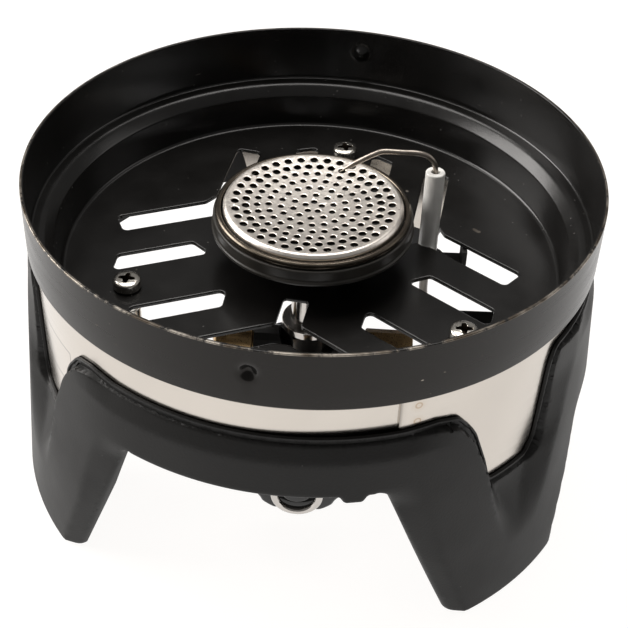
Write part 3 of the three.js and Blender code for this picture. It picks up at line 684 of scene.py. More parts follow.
def bowl():
    """Floor with its slots, ledge, wall with two dents and a thin rim, as one closed sheet."""
    azimuths = sorted({round(a % 360, 4) for a in np.arange(0, 360, 1.5)}
                      | {round((c + k * 0.2) % 360, 4) for c in DIMPLE_AZIMUTHS for k in range(-18, 19)})
    edge = [polar(FLOOR_R, a, 0)[:2] for a in azimuths]
    loops = [edge] + [circle(0, 0, HUB_R, 48)] + slot_loops()

    def top(p, d):
        return [(x, y, PLATE_Z - k) for (x, y), k in zip(p, round_off(d, 0.25))]

    def under(p):
        return [(x, y, PLATE_Z - SHEET) for x, y in p]

    verts, faces = slab(loops, top, under, [0.07, 0.2, 0.5], 3.0, 8.0, skip=1)
    low, high = DENT_REACH
    wall_r = RIM_R - SHEET
    middle = RIM_R - SHEET / 2
    profile = rounded([
        (FLOOR_R, PLATE_Z), (55.9, PLATE_Z, 1.4), (56.75, 61.8, 1.0), (59.2, LEDGE_Z - 0.05, 2.4),
        (wall_r, LEDGE_Z, 0.6), (wall_r, low), (wall_r, high), (wall_r, RIM_Z - 0.5), (wall_r, RIM_Z, 0.2),
        (middle, RIM_Z), (RIM_R, RIM_Z, 0.2), (RIM_R, RIM_Z - 0.5), (RIM_R, high), (RIM_R, low),
        (RIM_R, 64.75, 0.35), (61.6, 63.75, 0.4), (59.5, 63.7, 0.8), (57.6, 61.8, 0.6),
        (57.0, PLATE_Z - SHEET, 1.6), (FLOOR_R, PLATE_Z - SHEET)], closed=False, step=9)
    line = []
    for a, b in zip(profile, profile[1:]):
        upright = abs(a[0] - b[0]) < 0.01
        dented = upright and min(a[1], b[1]) > low - 0.6 and max(a[1], b[1]) < high + 0.3
        line += resample([a, b], 0.3 if dented else 40, closed=False)[:-1]
    line.append(profile[-1])
    wall, quads = lathe(line, azimuths=azimuths, closed=False)
    wall = [dented_point(*v) for v in wall]
    wear = [0.0] * len(verts)
    for r, z in line:
        wear += [1.0 if z > RIM_Z - 0.25 and r > middle - 0.1 else 0.0] * len(azimuths)
    to_edge = [abs(r - RIM_R) + abs(z - RIM_Z) for r, z in line]
    outside = len(azimuths) * to_edge.index(min(to_edge))
    looks = [0] * len(faces) + [1 if min(f) >= outside else 0 for f in quads]
    mesh_piece("bowl", *joined((verts, faces), (wall, quads)), ["enamel", "enamel_outside"], "enamel",
               "burner_bowl", face_looks=looks, attributes={"wear": wear}, weld=0.004, sharp=40)


def dented_point(x, y, z):
    """Pushes the wall in at the two dents that lock a pot."""
    r = math.hypot(x, y)
    azimuth = math.degrees(math.atan2(y, x))
    for centre in DIMPLE_AZIMUTHS:
        off = (azimuth - centre + 180) % 360 - 180
        q = math.hypot(math.radians(off) * r, z - DIMPLE_Z)
        if q < 3.0 and r > 60:
            k = (r - 1.15 * float(1 - ease(q, 0.3, 2.1)) - 0.25 * float(1 - ease(q, 1.2, 3.0))) / r
            return (x * k, y * k, z)
    return (x, y, z)


bowl()

# ---------------- skirt and shell

SKIRT_IN_R = 61.2
SKIRT_TOP = 56.2
SKIRT_REAR_TOP = 60.0
SPAN_Z = 42.4
REAR_SPAN_Z = 34.5
NOTCH_Z = 33.2
HOLLOW_Z = 16.0
FOOT_R = 68.0
SPAN_R = 64.4
UNROLL = math.radians(1) * 65.0
REAR_HALF_SPAN = 62.5
LEG_HALF = 15.4
LEG_SLOPE = 2.86
LIP_WIDTH = 0.72
BAND_START = 1.75
STOP_AZIMUTH = 289
LIP_R = 61.85
GROOVE_R = 61.5

# Edge of a window from its foot to its shoulder: degrees off the leg's centre, height, corner radius.
FRONT_ARM = [(6.1, NOTCH_Z, 1.4), (8.0, 39.7, 8.0), (9.6, 44.2, 10.0), (11.4, 49.3, 9.0), (12.7, 51.7, 6.0),
             (16.0, 56.0, 3.4), (20.5, 56.9, 5.0), (27, SKIRT_TOP + 0.1, 9.0)]
REAR_ARM = [(4.6, NOTCH_Z - 0.3, 2.6), (6.8, 36.6, 3.5), (8.1, 55.5, 8.0), (9.6, SKIRT_REAR_TOP, 2.4)]

# Crease between the cone and the hollow round a window: height, degrees off the leg's centre.
FRONT_CREASE = [(HOLLOW_Z, 4.5), (31.5, 8.0), (38, 9.4), (45, 11.3), (51, 13.6), (53, 14.9), (55, 17.0),
                (57, 20.5)]
REAR_CREASE = [(HOLLOW_Z, 5.3), (24.5, 8.0), (34, 10.6), (40, 13.0), (47, 15.0), (52, 18.0), (60, 19.0)]


def off_leg(azimuth):
    """Degrees between azimuths and the centre of the nearest leg."""
    gaps = [np.abs((azimuth - leg + 540) % 360 - 180) for leg in LEG_AZIMUTHS]
    return np.minimum.reduce(gaps)


def on_front(azimuth):
    """Whether azimuths lie in the span between the two front legs."""
    azimuth = np.asarray(azimuth) % 360
    return (azimuth > LEG_AZIMUTHS[1]) & (azimuth < LEG_AZIMUTHS[2])


def skirt_outlines():
    """Top and lower edges of the skirt, unrolled: (arc length, z) from the middle of a span, all round."""
    start = LEG_AZIMUTHS[0] - REAR_HALF_SPAN
    top, under = [(start, SKIRT_REAR_TOP)], [(start, REAR_SPAN_Z)]
    for centre in LEG_AZIMUTHS:
        for side in (-1, 1):
            front = bool(on_front(centre + side * 10))
            level = SPAN_Z if front else REAR_SPAN_Z
            edge = ((LEG_HALF, 0, 2.2), (LEG_HALF + level / LEG_SLOPE, level, 3.6))
            top += [(centre + side * a, z, r) for a, z, r in (FRONT_ARM if front else REAR_ARM)][::side]
            under += [(centre + side * a, z, r) for a, z, r in edge][::side]
        if centre == LEG_AZIMUTHS[1]:
            stop = [(-2.6, 0, 0.8), (-1.7, -1.6, 1.2), (1.7, -1.6, 1.2), (2.6, 0, 0.8)]
            under += [(STOP_AZIMUTH + a, SPAN_Z + dz, r) for a, dz, r in stop]
    top.append((start + 360, SKIRT_REAR_TOP))
    under.append((start + 360, REAR_SPAN_Z))

    def smooth(line):
        unrolled = [(a * UNROLL, *rest) for a, *rest in line]
        return resample(rounded(unrolled, closed=False, step=10), 0.9, closed=False)

    return smooth(top), smooth(under)


def along(pairs, z):
    """The second value of each pair as it runs along the first."""
    return np.interp(z, [p[0] for p in pairs], [p[1] for p in pairs])


def hollow(a, z, front, cone):
    """Depth of the hollow round a window: whole at the window's edge, none at the crease."""
    crease = np.where(front, along(FRONT_CREASE, z), along(REAR_CREASE, z))
    rise = [(HOLLOW_Z, 0.0)]
    edge = np.where(front, along(rise + [(h, d) for d, h, _ in FRONT_ARM[:6]], z),
                    along(rise + [(h, d) for d, h, _ in REAR_ARM], z))
    share = np.clip((crease - a) / np.maximum(crease - edge, 0.5), 0, 1)
    share = np.where(share < 0.16, share * share / 0.32, share - 0.08) / 0.92
    whole = (cone - LIP_R - 0.35) * ease(z, HOLLOW_Z - 2, NOTCH_Z - 1)
    return whole * share


def skirt_radius(azimuth, z, d_top, d_low):
    """Outer radius: a cone with hollows round the windows, tapered leg sides, and a groove and a lip
    along the top edge. d_top and d_low are the distances from the top and lower edges."""
    a = off_leg(azimuth)
    front = on_front(azimuth)
    cone = SPAN_R + (FOOT_R - SPAN_R) * (SPAN_Z - z) / SPAN_Z
    r = cone - ease(a, 16, 27) * np.clip((5.4 - d_top) * 0.36, 0, 2)
    level = np.where(front, SPAN_Z, REAR_SPAN_Z)
    crease = np.interp(z, [0, 7.2, 18.7, 29, 42], [12, 14.2, 17.8, 19.8, 23.5])
    edge = LEG_HALF + z / LEG_SLOPE
    side = 2.7 - 0.8 * ease(z, 10, 36)
    share = np.clip((a - crease) / np.maximum(edge - crease, 0.5), 0, 1.15)
    share = np.where(share < 0.12, share * share / 0.24, share - 0.06)
    r = r - np.where(a < 32, side * share * ease(level + 1.5 - z, 0, 7), 0)
    r = r - hollow(a, z, front, cone)
    r = np.maximum(r, LIP_R + 0.3)
    r = r - round_off(d_low, 0.9) - round_off(np.maximum(d_top - 1.7, 0), 0.35)
    wall = ease(d_top, BAND_START - 0.2, BAND_START)
    r = np.where(d_top < BAND_START, GROOVE_R + (r - GROOVE_R) * wall, r)
    lip = 1 - ease(d_top, LIP_WIDTH - 0.22, LIP_WIDTH)
    return np.where(d_top < LIP_WIDTH, GROOVE_R + (LIP_R - GROOVE_R) * lip - round_off(d_top, 0.2), r)


def skirt_inner(z):
    """Inner radius, which flares a little towards the feet."""
    return SKIRT_IN_R + 3.1 * np.clip(26 - z, 0, 26) / 26


def with_ends(line):
    """Segments of an edge that goes all round, with a few more past both of its ends."""
    segments = segments_of(line, False)
    turn = np.array([360 * UNROLL, 0])
    return np.concatenate([segments, segments[-12:] - turn, segments[:12] + turn])


def skirt():
    top, under = skirt_outlines()
    loop = top + under[::-1]
    tops, unders = with_ends(top), with_ends(under)
    rows = [0.12, 0.3, 0.48, 0.62, 0.74, 1.1, 1.5, 1.62, 1.74, 1.9, 2.2, 2.9, 4.0, 5.3, 6.4]
    low_rows = [0.1, 0.25, 0.5, 0.8, 1.3, 2.1]
    seam_x = (top[0][0], top[-1][0])
    extra = []
    for wall, other, offsets in ((tops, unders, rows), (unders, tops, low_rows)):
        for d, c in offset_rows(wall, offsets):
            c = c[inside(c, [loop])]
            if len(c):
                ok = (edge_distance(c, wall) > d * 0.985) & (edge_distance(c, other) > low_rows[-1])
                ok &= (c[:, 0] > seam_x[0] + 0.4) & (c[:, 0] < seam_x[1] - 0.4)
                extra.append(c[ok])
    for x in seam_x:
        heights = [SKIRT_REAR_TOP - d for d in rows] + [REAR_SPAN_Z + d for d in low_rows]
        extra.append(np.array([(x, z) for z in heights]))
    both = np.concatenate([tops, unders])
    p, t = fill([loop], [], 1.15, both, extra=np.concatenate(extra))
    azimuth = p[:, 0] / UNROLL
    r = skirt_radius(azimuth, p[:, 1], edge_distance(p, tops), edge_distance(p, unders))
    verts = [polar(rr, a, z) for rr, a, z in zip(r, azimuth, p[:, 1])]
    q, u = fill([loop], [], 4.0, both)
    n, m = len(p), len(loop)
    verts += [polar(float(skirt_inner(z)), x / UNROLL, z) for x, z in q]
    faces = [tuple(f) for f in t] + [tuple(n + i for i in f) for f in u]
    seams = (len(top) - 1, m - 1)
    faces += [quad for i, quad in enumerate(strip(0, n, m)) if i not in seams]
    mesh_piece("skirt", verts, faces, "skirt_plastic", "skirt_plastic", "leg_skirt", weld=0.02, sharp=35)


def skirt_lugs():
    """Ledges inside the skirt that the bracket's arms are screwed up against."""
    outline = rounded([(50.5, -6, 1.5), (63.2, -6), (63.2, 6), (50.5, 6, 1.5)], step=15)
    verts, faces = slab(
        [resample(outline, 1.5), circle(55, 0, 1.7, 24)],
        lambda p, d: [(x, y, 19.7 - k) for (x, y), k in zip(p, round_off(d, 0.3))],
        lambda q: [(x, y, 14.5) for x, y in q], [0.1, 0.3], 1.5, 3.0)
    for i, azimuth in enumerate(SCREW_AZIMUTHS):
        mesh_piece(f"lug_{i + 1}", verts, faces, "skirt_plastic", "skirt_plastic", "leg_skirt",
                   turn=azimuth, weld=0.004)


skirt()
skirt_lugs()


# Lower edge of the shell: degrees off the leg's centre, height.
TAB_EDGE = [(19, 24.0), (24, 27.0), (27, 36.0), (29, 44.5)]

# The blank outline: azimuth and height of its middle, half its width and height.
OUTLINE = (219.5, 48.2, 7.8, 5.0)
FINE_AZIMUTHS = (210.0, 229.0)
FINE_HEIGHTS = (42.0, 54.0)
FINE_STEP = 0.14


def outline_shade(azimuth, z):
    """1 along the outline of the blank plate that shows in the left leg's window."""
    centre, height, half_width, half_height = OUTLINE
    across = abs((azimuth - centre) * math.radians(1) * SHELL_R) - half_width
    up = abs(z - height) - half_height
    return clamp(1.3 - abs(max(across, up)) / 0.2)


def shell():
    """A rolled steel strip whose end laps over its start, with a deep tab behind each leg."""
    plate = np.arange(*FINE_AZIMUTHS, FINE_STEP)
    azimuths = np.concatenate([[SEAM], np.arange(SEAM + 0.6, SEAM + 359.7, 0.75), [SEAM + 360]])
    fine = np.array([a for a in plate + 360 if SEAM < a < SEAM + 360])
    azimuths = np.unique(np.round(np.concatenate([azimuths, fine]), 4))
    bottom = along(TAB_EDGE, off_leg(azimuths))
    outer = SHELL_R - 0.55 * ease(azimuths - SEAM, 325, 358)
    rows = np.arange(*FINE_HEIGHTS, FINE_STEP)
    verts, faces, line = [], [], []
    for a, b, r in zip(azimuths, bottom, outer):
        zs = [SHELL_TOP, SHELL_TOP - 0.12] + list(np.linspace(SHELL_TOP - 0.6, rows[-1] + 0.8, 5))
        if b < 40:
            zs += list(rows[::-1]) + list(np.linspace(rows[0] - 0.8, b + 0.6, 6))
        else:
            zs += list(np.linspace(rows[-1], b + 1.2, len(rows))) + list(np.linspace(b + 1.0, b + 0.6, 6))
        zs += [b + 0.12, b]
        column = [(r - 0.09, SHELL_TOP)] + [(r, z) for z in zs[1:-1]] + [(r - 0.09, b)]
        back = [b, b + 0.12, b + (SHELL_TOP - b) / 2, SHELL_TOP - 0.12, SHELL_TOP]
        column += [(r - (0.6 if k in (0, 4) else 0.7), z) for k, z in enumerate(back)]
        # Painted shade: the columns at the lapped edge are darkened as if the gap of the step lay in shadow.
        seam = clamp(1 - (a - SEAM) / 0.7) if a < SEAM + 1 else 0.0
        line += [max(outline_shade(a % 360, z), seam) for z in zs] + [0.0] * len(back)
        verts += [polar(rr, a, z) for rr, z in column]
    m = len(column)
    last = len(azimuths) - 1
    for i in range(last):
        faces += strip(i * m, (i + 1) * m, m)
    faces += [tuple(range(m)), tuple(last * m + k for k in range(m))]
    mesh_piece("shell", verts, faces, "heat_shell_steel", "heat_shell_steel", "heat_shell", sharp=35,
               attributes={"line": line})


shell()

# ---------------- burner head

DISC_R = 20.0
DISC_FLAT_R = 18.5
DISC_SHEET = 0.7
DISC_FACE_Z = 66.75
DISC_RIM_Z = 67.9

# Rings of flame holes: ring radius, count, azimuth of one hole, hole radius.
HOLE_RINGS = ((1.9, 5, 24, 0.70), (4.5, 10, 22, 0.70), (7.2, 17, 3.4, 0.70), (9.9, 24, 10, 0.70),
              (12.45, 30, 0.8, 0.72), (14.95, 36, 5.5, 0.86), (17.35, 36, 0.8, 0.86))


def dish(r):
    """Height of the disc's face."""
    return DISC_FACE_Z + 1.05 * (r / 17.4) ** 2


def disc():
    """The perforated disc: a dished face with soft-edged holes and a rim rolled down."""
    around = 144
    loops = [circle(0, 0, DISC_FLAT_R, around)]
    for radius, count, azimuth, hole_r in HOLE_RINGS:
        places = [polar(radius, azimuth + 360 * i / count, 0) for i in range(count)]
        loops += [circle(x, y, hole_r, 18) for x, y, _ in places]
    holes = np.concatenate([segments_of(loop) for loop in loops[1:]])

    def top(p, d):
        return [(x, y, dish(math.hypot(x, y)) - k) for (x, y), k in zip(p, round_off(d, 0.15))]

    def under(p):
        return [(x, y, dish(math.hypot(x, y)) - DISC_SHEET) for x, y in p]

    verts, faces = slab(loops, top, under, [0.05, 0.15, 0.22], 1.2, 3.0, walls=holes, skip=1)
    hole_walls = sum(len(loop) for loop in loops[1:])
    # The hole walls take the second look, the near-black one: painted shade inside the flame holes.
    looks = [0] * (len(faces) - hole_walls) + [1] * hole_walls
    edge = rounded([
        (DISC_FLAT_R, dish(DISC_FLAT_R)), (19.35, DISC_RIM_Z + 0.08, 0.9), (DISC_R, 67.2, 0.8),
        (DISC_R, 65.7, 0.2), (19.3, 65.7, 0.1), (19.3, 66.9, 0.1),
        (DISC_FLAT_R, dish(DISC_FLAT_R) - DISC_SHEET)], closed=False, step=9)
    rim = lathe(edge, around, closed=False)
    looks += [0] * len(rim[1])
    mesh_piece("burner_plate", *joined((verts, faces), rim), ["polished_steel", "hole_wall"],
               "polished_steel", "burner_disc", face_looks=looks, weld=0.004, sharp=40)


def burner_head():
    disc()
    band = [(20.4, 65.8, 0.15), (21.35, 65.8, 0.2), (21.72, 66.0, 0.15), (21.7, 66.24), (21.5, 66.32, 0.06),
            (21.7, 66.4), (21.6, 66.75, 0.2), (21.2, 67.0, 0.25), (20.7, 67.0, 0.25), (20.4, 66.7, 0.2)]
    turned("burner_band", band, "burner_band", "polished_steel", "burner_ring", 144)
    cup = [(22.0, 65.5, 0.12), (22.2, 65.2, 0.15), (22.15, 63.0, 0.6), (22.55, 62.6, 0.3), (22.5, 62.0, 0.35),
           (21.5, 61.6, 0.5), (19.5, 60.9, 1.0), (15.8, 59.0, 1.2), (6.6, 56.2, 1.0), (6.4, 46, 0.4),
           (4.7, 46, 0.2), (4.7, 57.2, 0.8), (15.2, 60.0, 1.0), (19.4, 62.0, 1.0), (21.0, 62.8, 0.4),
           (21.0, 65.5, 0.15)]
    turned("burner_bowl_cup", cup, "cup_black", "black_metal", "burner_cup", 120)
    pipe = [(3.4, 33.1, 0.15), (6.5, 33.1, 0.3), (6.5, 35.1, 0.35), (6.2, 35.4, 0.1), (4.3, 35.4, 0.4),
            (4.3, 55, 0.1), (3.4, 55, 0.1)]
    turned("mixing_pipe", pipe, "chrome", "chrome", "mixing_tube", 64, turn=VALVE_TURN)


burner_head()

# ---------------- small parts built as solids


def hexagon(radius, z0, z1, bore=0.0):
    """A hexagonal prism along Z, bored or solid, whose corners are turned off at both ends."""
    around = resample(circle(0, 0, radius, 6), radius / 6)
    flat = radius * math.cos(math.pi / 6)
    crown = flat - 0.15
    n = len(around)
    verts = []
    for z, up in ((z0, 1), (z1, -1)):
        verts += [(x, y, z + up * (math.hypot(x, y) - crown) * 0.55) for x, y in around]
    faces = strip(0, n, n)
    for z, base in ((z0, 0), (z1, n)):
        k = len(verts)
        for r in (crown, bore or flat * 0.5):
            verts += [(x * r / math.hypot(x, y), y * r / math.hypot(x, y), z) for x, y in around]
        faces += strip(base, k, n) + strip(k, k + n, n)
        if not bore:
            faces.append(tuple(range(k + n, k + 2 * n)))
    if bore:
        faces += strip(3 * n, 5 * n, n)
    return verts, faces


def sweep_tube(points, radius, sides=14, taper=None):
    """A round wire along a smoothed line of points. taper gives a radius factor along its length."""
    p = [Vector(q) for q in points]
    last = len(p) - 1
    verts, faces = [], []
    up = Vector((0, 0, 1)) if abs((p[1] - p[0]).normalized().z) < 0.9 else Vector((1, 0, 0))
    for i, q in enumerate(p):
        t = (p[min(i + 1, last)] - p[max(i - 1, 0)]).normalized()
        up = (up - t * up.dot(t)).normalized()
        other = t.cross(up)
        k = taper(i / last) if taper else 1
        for s in range(sides):
            a = 2 * math.pi * s / sides
            verts.append(tuple(q + (up * math.cos(a) + other * math.sin(a)) * radius * k))
    for i in range(last):
        faces += strip(i * sides, (i + 1) * sides, sides)
    faces += [tuple(range(sides)), tuple(last * sides + s for s in range(sides))]
    return verts, faces


def smooth_path(points, per=8):
    """Centripetal Catmull-Rom through the points."""
    p = [np.array(q, float) for q in points]
    p = [2 * p[0] - p[1]] + p + [2 * p[-1] - p[-2]]
    out = []
    for i in range(1, len(p) - 2):
        near = p[i - 1 : i + 3]
        t = [0.0]
        for a, b in zip(near, near[1:]):
            t.append(t[-1] + max(np.linalg.norm(b - a), 1e-6) ** 0.5)
        for k in range(per):
            u = t[1] + (t[2] - t[1]) * k / per
            row = near
            for span in (1, 2):
                row = [((t[j + span] - u) * a + (u - t[j]) * b) / (t[j + span] - t[j])
                       for j, (a, b) in enumerate(zip(row, row[1:]))]
            out.append(tuple(((t[2] - u) * row[0] + (u - t[1]) * row[1]) / (t[2] - t[1])))
    out.append(tuple(p[-2]))
    return out


# Outline of a cross recess on a head of radius 1.
CROSS = [(0.58, -0.13), (0.58, 0.13), (0.21, 0.21), (0.13, 0.58), (-0.13, 0.58), (-0.21, 0.21),
         (-0.58, 0.13), (-0.58, -0.13), (-0.21, -0.21), (-0.13, -0.58), (0.13, -0.58), (0.21, -0.21)]


def pan_screw(head_r, head_h, shank_r, length, spin=0.0):
    """A pan-head screw with a tapered cross recess, head underside on z = 0 and shank down.
    Returns vertices, faces and which faces are the recess."""
    cross = rounded([(x * head_r, y * head_r, 0.12) for x, y in CROSS])
    cross = rotated(resample(cross, 0.3), spin)
    crown = head_r * 0.78
    ring = circle(0, 0, crown, 48)
    p, t = fill([ring, cross], [0.07], 0.7, segments_of(cross))
    drop = round_off(edge_distance(p, segments_of(cross)), 0.07)
    bulge = 0.07 * head_h * (p ** 2).sum(1) / crown ** 2
    verts = [(x, y, head_h - u - k) for (x, y), u, k in zip(p, bulge, drop)]
    faces = [tuple(f) for f in t]
    start, k, m = len(ring), len(verts), len(cross)
    recess = len(faces)
    verts += [(x * 0.6, y * 0.6, head_h * 0.25) for x, y in cross]
    faces += strip(start, k, m)
    faces.append(tuple(k + i for i in range(m)))
    looks = [0] * recess + [1] * (m + 1)
    side = rounded([(crown, head_h * 0.93), (head_r, head_h * 0.78, head_r * 0.16), (head_r, 0, 0.1),
                    (shank_r, 0, 0.05), (shank_r, -length)], closed=False, step=15)
    wall = lathe(side + [(0, -length)], 48, closed=False)
    return *joined((verts, faces), wall), looks + [0] * len(wall[1])


def screw_piece(name, node, sizes, spin, turn, at):
    v, f, looks = pan_screw(*sizes, spin)
    # The cross recess takes the second look, the near-black one: painted shade in the recess.
    mesh_piece(name, v, f, ["nickel", "hole_wall"], "nickel", node, turn=turn, at=at, weld=0.004,
               face_looks=looks)


def shifted(x, y, z, flip=False):
    m = Matrix.Translation((x, y, z))
    return m @ Matrix.Rotation(math.pi, 4, "X") if flip else m


# Head radius and height, shank radius and length of each kind of screw.
FLOOR_SCREW = (3.05, 2.4, 1.45, 36.5)
FOOT_SCREW = (2.7, 2.0, 1.4, 7.8)
BODY_SCREW = (2.3, 1.6, 0.9, 4.2)
SPINS = (18, 62, 38)


def fasteners():
    """Screws on the floor with their stand-offs and nuts, and the screws of the skirt and the valve body."""
    pillar = lathe(rounded([
        (1.75, 21.5, 0.1), (3.1, 21.5, 0.25), (3.1, 24.5, 0.1), (2.7, 25.2, 0.1), (2.7, 48.6, 0.1),
        (3.1, 49.3, 0.1), (3.1, 52.6, 0.25), (1.75, 52.6, 0.1)]), 40)
    nut = hexagon(3.2, 17.2, 19.7, bore=1.75)
    for i, azimuth in enumerate(SCREW_AZIMUTHS):
        n = i + 1
        screw_piece(f"floor_screw_{n}", f"plate_screw_{n}", FLOOR_SCREW, SPINS[i], azimuth,
                    shifted(SCREW_R, 0, PLATE_Z + 0.3))
        mesh_piece(f"pillar_{n}", *pillar, "nickel", "nickel", f"standoff_{n}", turn=azimuth,
                   at=shifted(SCREW_R, 0, 0))
        mesh_piece(f"nut_{n}", *nut, "nickel", "nickel", f"bracket_nut_{n}", turn=azimuth,
                   at=shifted(SCREW_R, 0, 0), weld=0.002)
        screw_piece(f"foot_screw_{n}", f"skirt_screw_{n}", FOOT_SCREW, SPINS[i] + 20, azimuth,
                    shifted(55, 0, 14.2, flip=True))
    for i, side in enumerate((-1, 1)):
        screw_piece(f"body_screw_{i + 1}", f"valve_screw_{i + 1}", BODY_SCREW, 30 * side, VALVE_TURN,
                    shifted(side * 10.5, 0, 19.7, flip=True))


fasteners()


def electrode():
    """The ceramic tube and the wire out of it, which bends over the burner and dips to a point."""
    x, y = ELECTRODE
    top = 77.1
    route = [(0, 44.8), (0, 60), (0, 72.5), (0.5, 74.6), (2.0, 76.3), (4.2, top - 0.1), (8, top),
             (12.2, top), (13.6, top - 0.6), (17.4, 74.2), (21.3, 71.4)]
    wire = smooth_path([(x - back, y, z) for back, z in route])
    v, f = sweep_tube(wire, 0.6, 16, lambda t: 1 if t < 0.93 else max(0.12, (1 - t) / 0.07))
    mesh_piece("spark_wire", v, f, "wire_steel", "wire_steel", "electrode_wire", turn=IGNITION_TURN, sharp=60)
    v, f = lathe(rounded([(0.95, 45, 0.15), (2.2, 45, 0.3), (2.2, 72.4, 0.4), (0.95, 72.4, 0.15)]), 40)
    mesh_piece("insulator", v, f, "ceramic", "ceramic", "ceramic_insulator", turn=IGNITION_TURN,
               at=shifted(x, y, 0))


electrode()

# ---------------- valve

CROSS_Z = 26.6
SPINDLE_Z = 18.0
KNOB_BACK = 32.0
KNOB_FRONT = 36.0
KNOB_R = 11.5
BOSS_R = 3.6
FLUTES = 10
BAIL_Y = -38.0
BAIL_HALF = 5.0
BAIL_WIRE_R = 0.9
FLUTE_DEPTH = 0.45


def knob():
    """Moulded knob with soft finger flutes, a stepped boss and a bored neck behind."""
    seat = KNOB_FRONT - 0.5
    tip = KNOB_FRONT + 3.9
    profile = rounded([
        (2.2, 27, 0.2), (4.0, 27, 0.3), (4.0, KNOB_BACK, 0.2), (KNOB_R, KNOB_BACK, 0.8),
        (KNOB_R, KNOB_FRONT, 0.9), (7.6, KNOB_FRONT, 0.5), (7.2, seat, 0.4), (BOSS_R, seat, 0.3),
        (BOSS_R, tip, 0.5), (0, tip)], closed=False, step=12)
    verts, faces = lathe(profile + [(0, 31.4), (2.2, 31.4)], 200)
    out = []
    for x, y, z in verts:
        r = math.hypot(x, y)
        swing = (math.degrees(math.atan2(y, x)) * FLUTES / 360) % 1
        gap = min(swing, 1 - swing) * 2 * math.pi * r / FLUTES
        deep = clamp((r - 8.6) / 2.4) * FLUTE_DEPTH * max(0.0, 1 - (gap / 1.9) ** 2)
        k = (r - deep) / r if r > 0 else 1
        out.append(lay((x * k, y * k, z), "front", SPINDLE_Z))
    mesh_piece("knob", out, faces, "black_plastic", "black_plastic", "control_knob", body="valve_stem",
               turn=VALVE_TURN)


def bail():
    """U of round wire that hangs from the knob's boss."""
    low = SPINDLE_Z - 3.2
    side = [(2.4, SPINDLE_Z), (3.6, SPINDLE_Z), (4.2, SPINDLE_Z - 0.13), (4.75, SPINDLE_Z - 0.6),
            (BAIL_HALF, SPINDLE_Z - 1.4)]
    arc = [(BAIL_HALF * math.cos(a), low - BAIL_HALF * math.sin(a)) for a in np.linspace(0, math.pi, 25)]
    points = [(x, BAIL_Y, z) for x, z in side + arc + [(-x, z) for x, z in reversed(side)]]
    v, f = sweep_tube(smooth_path(points, 4), BAIL_WIRE_R, 16)
    mesh_piece("bail", v, f, "chrome", "chrome", "wire_handle", body="handle", turn=VALVE_TURN, sharp=60)


def valve_fittings():
    """The relief valve's domed cap on one side of the valve body and a hexagonal plug on the other."""
    cap = [(0, 8.3), (2.6, 8.3), (2.6, 13.3, 0.1), (4.5, 13.3, 0.3), (4.5, 19.6, 1.6), (3.2, 22.3, 1.6),
           (0, 23.1)]
    turned("relief_dome", cap, "brass", "brass", "relief_cap", 64, turn=VALVE_TURN + 180, along="side",
           height=CROSS_Z)
    thread = rounded([(0, 8.3), (2.6, 8.3, 0.4), (2.6, 14.0), (0, 14.0)], closed=False)
    v, f = joined(hexagon(5.0, 13.4, 24.8), lathe(thread, 40, closed=False))
    v = [lay(q, "side", CROSS_Z) for q in v]
    mesh_piece("cross_plug", v, f, "brass", "brass", "passage_plug", turn=VALVE_TURN, weld=0.002)


knob()
bail()
valve_fittings()

# ---------------- carried-over CAD nodes

FINISHES = {
    "black_metal": ["base_bracket", "valve_body", "igniter_holder", "electrode_clamp"],
    "brass": ["gas_jet", "gland_nut", "valve_spindle", "canister_connector", "depressor_pin"],
    "chrome": ["jet_holder"],
    "rubber": ["spindle_seal", "connector_seal"],
    "black_plastic": ["igniter_body", "igniter_button"],
    "ceramic": ["piezo_element"],
    "wire_steel": ["igniter_spring"],
    "lead_sheath": ["ignition_lead"],
}
for look, names in FINISHES.items():
    for name in names:
        obj = frame["nodes"][name]
        obj.data.materials.clear()
        obj.data.materials.append(LOOKS[look])

# ---------------- floor, light, camera


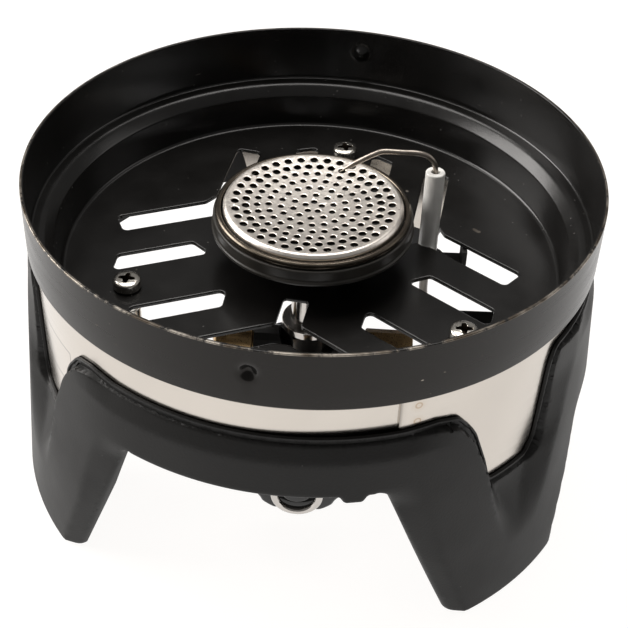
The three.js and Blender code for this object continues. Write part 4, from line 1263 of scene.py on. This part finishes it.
def stage():
    me = bpy.data.meshes.new("floor")
    bm = bmesh.new()
    bmesh.ops.create_grid(bm, x_segments=2, y_segments=2, size=4.0)
    bm.to_mesh(me)
    bm.free()
    floor = bpy.data.objects.new("floor", me)
    floor.location = (0, 0, -0.4 * MM)
    bpy.context.scene.collection.objects.link(floor)
    mat = bpy.data.materials.new("floor")
    mat.use_nodes = True
    sockets = mat.node_tree.nodes["Principled BSDF"].inputs
    for key, value in (("Base Color", (0.12, 0.118, 0.115, 1)), ("Roughness", 0.9),
                       ("Emission Color", (1, 0.985, 0.97, 1)), ("Emission Strength", 0.96)):
        sockets[key].default_value = value
    me.materials.append(mat)


def softbox(name, location, target, width, height, power):
    """A warm rectangular lamp that faces a target."""
    data = bpy.data.lights.new(name, "AREA")
    data.shape = "RECTANGLE"
    data.size = width
    data.size_y = height
    data.energy = power
    data.color = (1, 0.97, 0.94)
    obj = bpy.data.objects.new(name, data)
    obj.location = location
    obj.rotation_euler = (Vector(target) - Vector(location)).to_track_quat("-Z", "Y").to_euler()
    bpy.context.scene.collection.objects.link(obj)


def studio():
    world = bpy.data.worlds.new("studio")
    world.use_nodes = True
    sky = world.node_tree.nodes["Background"].inputs
    sky["Color"].default_value = (1, 0.98, 0.96, 1)
    sky["Strength"].default_value = 0.2
    bpy.context.scene.world = world
    softbox("left", (-0.9, 0.1, 0.55), (0, 0, 0.04), 0.7, 0.7, 14)
    softbox("right", (0.9, 0.35, 0.5), (0, 0, 0.04), 0.5, 0.6, 1.0)
    softbox("overhead", (-0.1, 0.25, 1.0), (0, 0, 0.05), 0.8, 0.6, 8)
    view = bpy.context.scene.view_settings
    view.view_transform = "Standard"
    view.look = "None"


CAMERA_AT = (40.825, -233.429, 230.155)
CAMERA_LENS = 74.18
CAMERA_SENSOR = 36
CAMERA_AZIMUTH = 9.742
CAMERA_TILT = 39.544
CAMERA_ROLL = 2.332


def camera():
    """Looks down at the burner from the front, a little from the right, and rolled a little."""
    data = bpy.data.cameras.new("camera")
    data.sensor_width = CAMERA_SENSOR
    data.lens = CAMERA_LENS
    cam = bpy.data.objects.new("camera", data)
    turn, pitch, roll = (math.radians(a) for a in (CAMERA_AZIMUTH, 90 - CAMERA_TILT, CAMERA_ROLL))
    cam.matrix_world = (Matrix.Translation(Vector(CAMERA_AT) * MM) @ Matrix.Rotation(turn, 4, "Z")
                        @ Matrix.Rotation(pitch, 4, "X") @ Matrix.Rotation(roll, 4, "Z"))
    bpy.context.scene.collection.objects.link(cam)
    bpy.context.scene.camera = cam


stage()
studio()
camera()
